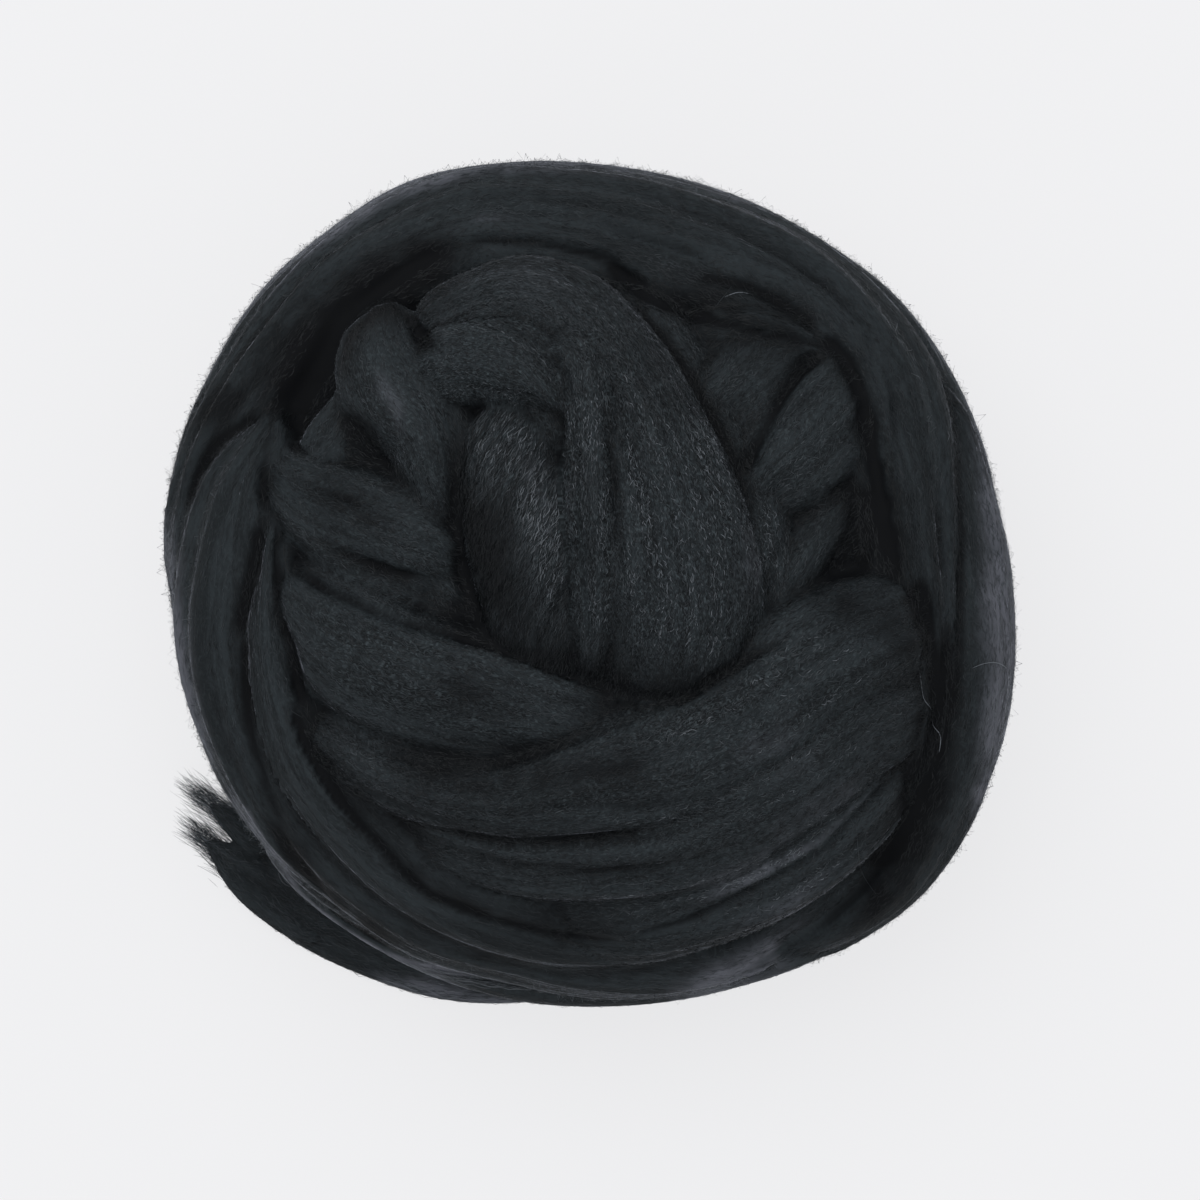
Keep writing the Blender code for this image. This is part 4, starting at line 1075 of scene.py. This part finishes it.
class Skin:
    """A piece's faces in millimetres, with a search tree and each face's painted shade, which is a
    painted highlight below 0.
    """

    def __init__(self, piece):
        data = piece.data
        spots = read(data.vertices, "co", 3)
        faces = read(data.loops, "vertex_index", 1, np.int32).reshape(-1, 4)
        shade_and_highlight = read(data.attributes["shade_and_highlight"].data, "value", 1)[:, 0]
        self.shade_and_highlight = shade_and_highlight[faces].mean(axis=1)
        self.tree = BVHTree.FromPolygons((spots / MM).tolist(), faces.tolist())

    def lay(self, lines, locks, reach):
        """(lines, normals, painted shade, locks) of the fibres that lie on the skin, each knot moved to
        the nearest place on it. One with a knot further than reach from it lies under another pass."""
        found = [self.tree.find_nearest(spot, reach) for spot in lines.reshape(-1, 3).tolist()]
        missed = np.array([spot[0] is None for spot in found]).reshape(lines.shape[:2])
        nothing = (Vector((0, 0, 0)), Vector((0, 0, 1)), 0)
        found = [nothing if spot[0] is None else spot for spot in found]
        spots = np.array([spot[0][:] for spot in found]).reshape(lines.shape)
        normals = np.array([spot[1][:] for spot in found]).reshape(lines.shape)
        shade_and_highlight = self.shade_and_highlight[[spot[2] for spot in found]].reshape(lines.shape[:2]).mean(axis=1)
        kept = ~missed.any(axis=1)
        return spots[kept], unit(normals[kept]), shade_and_highlight[kept], locks[kept]


def ribbons(name, lines, normals, shade_and_highlight, locks, crisp, pale, lift, width, seed):
    """Fibres as thin ribbons in one mesh: each leaves the skin, arches to its own lift and dips back.

    Each ribbon leans at random about its own line, tapers to both ends and has one tone. Fibres
    differ less the lower crisp is, share some of their lock's tone, are paler by pale, take a painted
    highlight on a crest and painted shade in a hollow.
    """
    random = np.random.default_rng(seed)
    count, knots = lines.shape[:2]
    part = np.linspace(0, 1, knots)[None]
    arch = np.sin(math.pi * part) ** 0.7
    rise = (lift * random.gamma(1.6, 0.62, (count, 1)) + 0.05) * arch - 0.06
    lines = lines + rise[..., None] * normals
    along = unit(np.gradient(lines, axis=1))
    side = unit(np.cross(along, normals))
    freedom = np.minimum(1, 0.3 + 0.7 * np.reshape(crisp, (-1, 1, 1)))
    lean = random.uniform(-MOST_LEAN, MOST_LEAN, (count, 1, 1)) * freedom
    side = side * np.cos(lean) + np.cross(along, side) * np.sin(lean)
    taper = 0.25 + 0.75 * np.sin(math.pi * part) ** 0.6
    half = width / 2 * random.uniform(0.7, 1.4, (count, 1)) * taper
    edges = np.stack([lines - half[..., None] * side, lines + half[..., None] * side], axis=2)
    edges[..., 2] = np.maximum(edges[..., 2], LEAST_HEIGHT)
    index = np.arange(count * knots * 2).reshape(count, knots, 2)
    quads = np.stack([index[:, :-1, 0], index[:, :-1, 1], index[:, 1:, 1], index[:, 1:, 0]], axis=-1)
    # Painted shade darkens a fibre in a hollow or beside a crease, and a painted highlight makes it paler
    # on a crest.
    depth = np.clip(shade_and_highlight / BLACK_HOLLOW, 0, 1)
    pale = pale + CREST_SHARE * np.clip(-shade_and_highlight - CREST_FROM, 0, 1)
    pick = 0.55 + (random.uniform(0, 1, count) - 0.55) * crisp
    pick = depth + (1 - depth) * np.clip(pick + LOCK_SHARE * locks - pale, 0, 1)
    tone = np.minimum(np.searchsorted(np.cumsum(TONE_SHARES), pick), len(tones) - 1)
    slots = np.repeat(tone, knots - 1)
    sizes = np.full(len(slots), 4)
    piece = fill_mesh(name, edges.reshape(-1, 3) * MM, quads.ravel(), sizes, slots=slots)
    for material in tones:
        piece.data.materials.append(material)
    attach(piece, "root")
    return piece


def covered(members, per_area, length, stray, seed):
    """Lines of fibres over the faces of some passes, as many as their areas in mm² times per_area,
    and their locks."""
    laid = []
    for order, grid in enumerate(members):
        face = grid.points[:, :grid.face_places]
        area = (
            np.linalg.norm(np.diff(face, axis=0)[:, :-1], axis=2)
            * np.linalg.norm(np.diff(face, axis=1)[:-1], axis=2)
        ).sum()
        laid.append(lay_fibres(grid, int(area * per_area), length, stray, seed + order))
    return [np.concatenate(parts) for parts in zip(*laid)]


# How fibres cover some passes: how many lie on a square millimetre, how long they are, how far their
# direction strays, in radians, how much they differ and how far they lift. From DULL_FROM towards
# the back they differ less, and beyond DULL_ALL by the share DULLED.
DULL_FROM, DULL_ALL, DULLED = 30, 50, 0.4
Cover = namedtuple("Cover", "per_area length stray crisp lift members")
SIDES = ("waist", "left_outer", "left_inner", "back_foot", "front_foot")
COVERS = {
    "fibres_on_the_rim": Cover(2.4, 2.4, 0.26, 0.26, 0.12, ("rim", "rim_inner", "right_side")),
    "fibres_on_the_sides": Cover(1.0, 2.8, 0.20, 0.24, 0.12, SIDES),
    "fibres_on_the_fan": Cover(5.0, 1.6, 0.50, 0.75, 0.12, ("fan_upper", "fan_middle", "fan_lower")),
    "fibres_on_the_nest": Cover(3.8, 1.8, 0.38, 0.55, 0.12, (
        "left_high", "left_low", "left_curl", "right_high", "right_middle", "right_low", "small_lobe",
        "bed", "bed_left", "bed_right", "bed_gap", "bed_front",
    )),
    "fibres_on_the_loop": Cover(8.0, 1.4, 0.40, 1.1, 0.13, (
        "under_loop", "bed_fold", "loop_right", "loop_pleat", "loop_fold",
    )),
    "fibres_on_the_fold": Cover(9.0, 3.0, 0.20, 1.25, 0.15, ("loop_left",)),
}
ball_skin = Skin(ball)
for number, (name, cover) in enumerate(COVERS.items()):
    members = [passes[member] for member in cover.members]
    lines, locks = covered(members, cover.per_area, cover.length, cover.stray, seed=100 * number)
    laid = ball_skin.lay(lines, locks, MOST_OFF_SKIN)
    dull = np.clip((laid[0][:, 1, 1] - DULL_FROM) / (DULL_ALL - DULL_FROM), 0, 1)
    crisp = cover.crisp * (1 - DULLED * dull)
    ribbons(name, *laid, crisp, pale=0.0, lift=cover.lift, width=FIBRE_WIDTH, seed=number)

# Short fuzz stands up all round the ball's edge, where the skin is within 27 degrees of upright.
EDGE_PASSES = ("rim", "right_side", "waist", "left_outer")
STEEP = 0.45
members = [passes[member] for member in EDGE_PASSES]
lines, locks = covered(members, per_area=1.6, length=2.4, stray=0.6, seed=700)
laid = ball_skin.lay(lines, locks, MOST_OFF_SKIN)
steep = np.abs(laid[1][:, 1, 2]) < STEEP
lit_fuzz = [part[steep] for part in laid]
# Its fibres take paler tones: a painted highlight of the light that the fuzz catches.
ribbons("fuzz_round_the_edge", *lit_fuzz, crisp=0.6, pale=0.35, lift=0.45, width=0.06, seed=7)


def traced(skin, paths, spacing):
    """Lines and normals on a skin under paths as shown from the camera: each path is made smooth, and
    each of its places is where the line of sight meets the skin, if it does."""
    eye = np.array([*CAMERA_PLACE, CAMERA_HEIGHT])
    lines, normals = [], []
    for path in paths:
        flat = smooth_rows(path, spacing)
        sight = unit(np.column_stack([flat, np.full(len(flat), MIDDLE_HEIGHT)]) - eye)
        met = [skin.tree.ray_cast(Vector(eye), Vector(way)) for way in sight.tolist()]
        met = [hit for hit in met if hit[0] is not None]
        lines.append(np.array([hit[0][:] for hit in met]))
        normals.append(np.array([hit[1][:] for hit in met]))
    return lines, normals


# Single stray fibres that show, as x and y at the height of the ball's middle, and how pale each is.
Stray = namedtuple("Stray", "pale path")
STRAYS = (
    Stray(0.5, (
        (-2, -54), (-0.5, -56), (1.1, -58), (3.3, -57.2), (5.5, -56.6), (8.3, -56.9),
        (13.8, -56.1), (16.6, -57.2), (18.2, -57.5),
    )),
    Stray(0.4, (
        (61.6, -15.2), (62.2, -18), (62.7, -21.8), (64.1, -24), (64.4, -26.8), (66, -29),
        (65.7, -32.3),
    )),
    Stray(0.2, ((50, -43.4), (50.3, -48.9), (51.1, -54.4), (54.7, -59.9))),
    Stray(0.6, ((71.8, -16.3), (74, -15.3), (76.2, -15.2), (78.6, -16.4))),
    Stray(0.2, ((23, 51), (25, 53.5), (27, 56))),
    Stray(0.2, ((25, 53.5), (28, 54.5), (31, 54))),
)
for number, stray in enumerate(STRAYS):
    lines, normals = (np.array(part) for part in traced(ball_skin, [stray.path], spacing=0.7))
    ribbons(
        f"stray_fibre_{number + 1}", lines, normals, shade_and_highlight=np.zeros(1), locks=np.zeros(1),
        crisp=1.0, pale=stray.pale, lift=0.2, width=0.16, seed=number,
    )

# Pale fibres, drawn out thin along the ball's lower left edge, are a painted highlight of the light
# caught in the fuzz there. Each fibre is a short piece of their line, a little off it. One that runs
# off the skin, or would hang over a step in it, is left out.
EDGE_HIGHLIGHT_LINE = (
    (-69.5, -36.5), (-68.3, -39.5), (-64.1, -46.4), (-58.5, -54.3), (-53.4, -61.1), (-46.6, -66.7),
    (-39.9, -70.7), (-32, -72.9), (-22, -75), (-10, -76.5),
)
HIGHLIGHT_FIBRES, HIGHLIGHT_PLACES, PLACES_APART = 700, 12, 3
LARGEST_DROP = 2.5
random = np.random.default_rng(60)
middle_line = smooth_rows(EDGE_HIGHLIGHT_LINE, spacing=0.5)
pieces = []
for start in random.uniform(0, len(middle_line) - HIGHLIGHT_PLACES, HIGHLIGHT_FIBRES).astype(int):
    part = middle_line[start:start + HIGHLIGHT_PLACES:PLACES_APART]
    pieces.append(part + random.normal(0, 0.3, 2) + random.normal(0, 0.12, part.shape))
lines, normals = traced(ball_skin, pieces, spacing=9)
longest = max(len(line) for line in lines)
kept = [
    number for number, line in enumerate(lines)
    if len(line) == longest and np.ptp(line[:, 2]) < LARGEST_DROP
]
lines, normals = (np.array([part[number] for number in kept]) for part in (lines, normals))
level = np.zeros(len(lines))
ribbons(
    "lit_fibres_on_the_edge", lines, normals, shade_and_highlight=level, locks=level,
    crisp=0.6, pale=0.38, lift=0.25, width=0.10, seed=61,
)

# The loose end's own fibres, and the wisps that its two locks thin out to. A wisp starts in its lock,
# more of them the further back, and runs on along it, spreading and sinking to the table.
end_skin = Skin(loose_end)
lines, locks = covered(end_passes.values(), per_area=2.4, length=2.6, stray=0.22, seed=900)
laid = end_skin.lay(lines, locks, MOST_OFF_SKIN)
end_fibres = ribbons(
    "fibres_on_the_loose_end", *laid, crisp=0.5, pale=0.0, lift=0.15, width=FIBRE_WIDTH, seed=90,
)
WISPS, WISP_KNOTS, WISP_REACH, WISP_LENGTHS = 1400, 5, 14.0, (2.0, 6.5)
WISP_TURN, WISP_BEND, WISP_SINK = 0.10, 0.16, 0.15
LEAST_WISP_HEIGHT = 0.25
random = np.random.default_rng(91)
wisps = []
for key in ("upper_lock", "lower_lock"):
    rows = np.array(END[key].rows, float)
    heading = math.atan2(*(rows[-1] - rows[-2])[[1, 0]])
    ahead = np.array([math.cos(heading), math.sin(heading), 0])
    beside = np.array([-math.sin(heading), math.cos(heading), 0])
    back = WISP_REACH * random.uniform(0, 1, (WISPS, 1)) ** 0.75
    start = rows[-1, :3] - (0, 0, rows[-1, 4] / 2) + (1.0 - back) * ahead
    start = start + random.normal(0, 1, (WISPS, 1)) * (0.9 + 0.07 * back) * beside
    part = np.linspace(0, 1, WISP_KNOTS)[None]
    size = random.uniform(*WISP_LENGTHS, (WISPS, 1))
    turn = heading + random.normal(0, WISP_TURN, (WISPS, 1))
    turn = turn + random.normal(0, WISP_BEND, (WISPS, 1)) * part
    way = np.stack([np.cos(turn), np.sin(turn), 0 * turn - WISP_SINK], axis=-1)
    wisps.append(start[:, None] + np.cumsum(way * size[..., None] / (WISP_KNOTS - 1), axis=1))
wisps = np.concatenate(wisps)
heights = wisps[..., 2] + random.normal(0, 0.5, (len(wisps), 1))
wisps[..., 2] = np.maximum(heights, LEAST_WISP_HEIGHT)
level = np.zeros(len(wisps))
end_wisps = ribbons(
    "wisps_of_the_loose_end", wisps, upward(wisps), shade_and_highlight=level, locks=level,
    crisp=0.8, pale=0.25, lift=0.1, width=0.055, seed=92,
)


# ------------------------------------------------------------------------------------------------
# The table and the light: a plain pale table, a broad soft lamp high up behind the ball and a little
# to its left, and a bright even room. The camera looks straight down.

bpy.ops.mesh.primitive_plane_add(size=6.0, location=(0, 0, 0))
table = bpy.context.object
table.name = "pale_table"
paint, shader = plain_material("pale_table", (0.12, 0.12, 0.122), roughness=0.9, specular=0.0)
set_inputs(shader, {"Emission Color": (0.987, 0.987, 1.0, 1.0), "Emission Strength": 0.745})
table.data.materials.append(paint)

LAMP_PLACE, LAMP_AIM = Vector((-0.35, 0.8, 1.9)), Vector((0, 0, 0.05))
LAMP_SIZE, LAMP_WATTS = 1.6, 23.0
lamp_data = bpy.data.lights.new("window", "AREA")
lamp_data.size, lamp_data.energy = LAMP_SIZE, LAMP_WATTS
lamp = placed("window", lamp_data)
lamp.location = LAMP_PLACE
lamp.rotation_euler = (LAMP_AIM - LAMP_PLACE).to_track_quat("-Z", "Y").to_euler()

room = bpy.data.worlds.new("room")
bpy.context.scene.world = room
room.use_nodes = True
background = room.node_tree.nodes["Background"]
set_inputs(background, {"Color": (0.97, 0.98, 1.0, 1.0), "Strength": 0.85})
bpy.context.scene.view_settings.view_transform = "Standard"

# The ball, two of its radii across, takes up 850 of the picture's 1200 pixels.
PICTURE_PIXELS, BALL_PIXELS = 1200, 850
SENSOR = 36.0
shown_width = PICTURE_PIXELS * 2 * BALL_RADIUS / BALL_PIXELS
camera_data = bpy.data.cameras.new("camera")
camera_data.sensor_width = SENSOR
camera_data.lens = SENSOR * (CAMERA_HEIGHT - MIDDLE_HEIGHT) / shown_width
camera = placed("camera", camera_data)
camera.location = (CAMERA_PLACE[0] * MM, CAMERA_PLACE[1] * MM, CAMERA_HEIGHT * MM)
bpy.context.scene.camera = camera
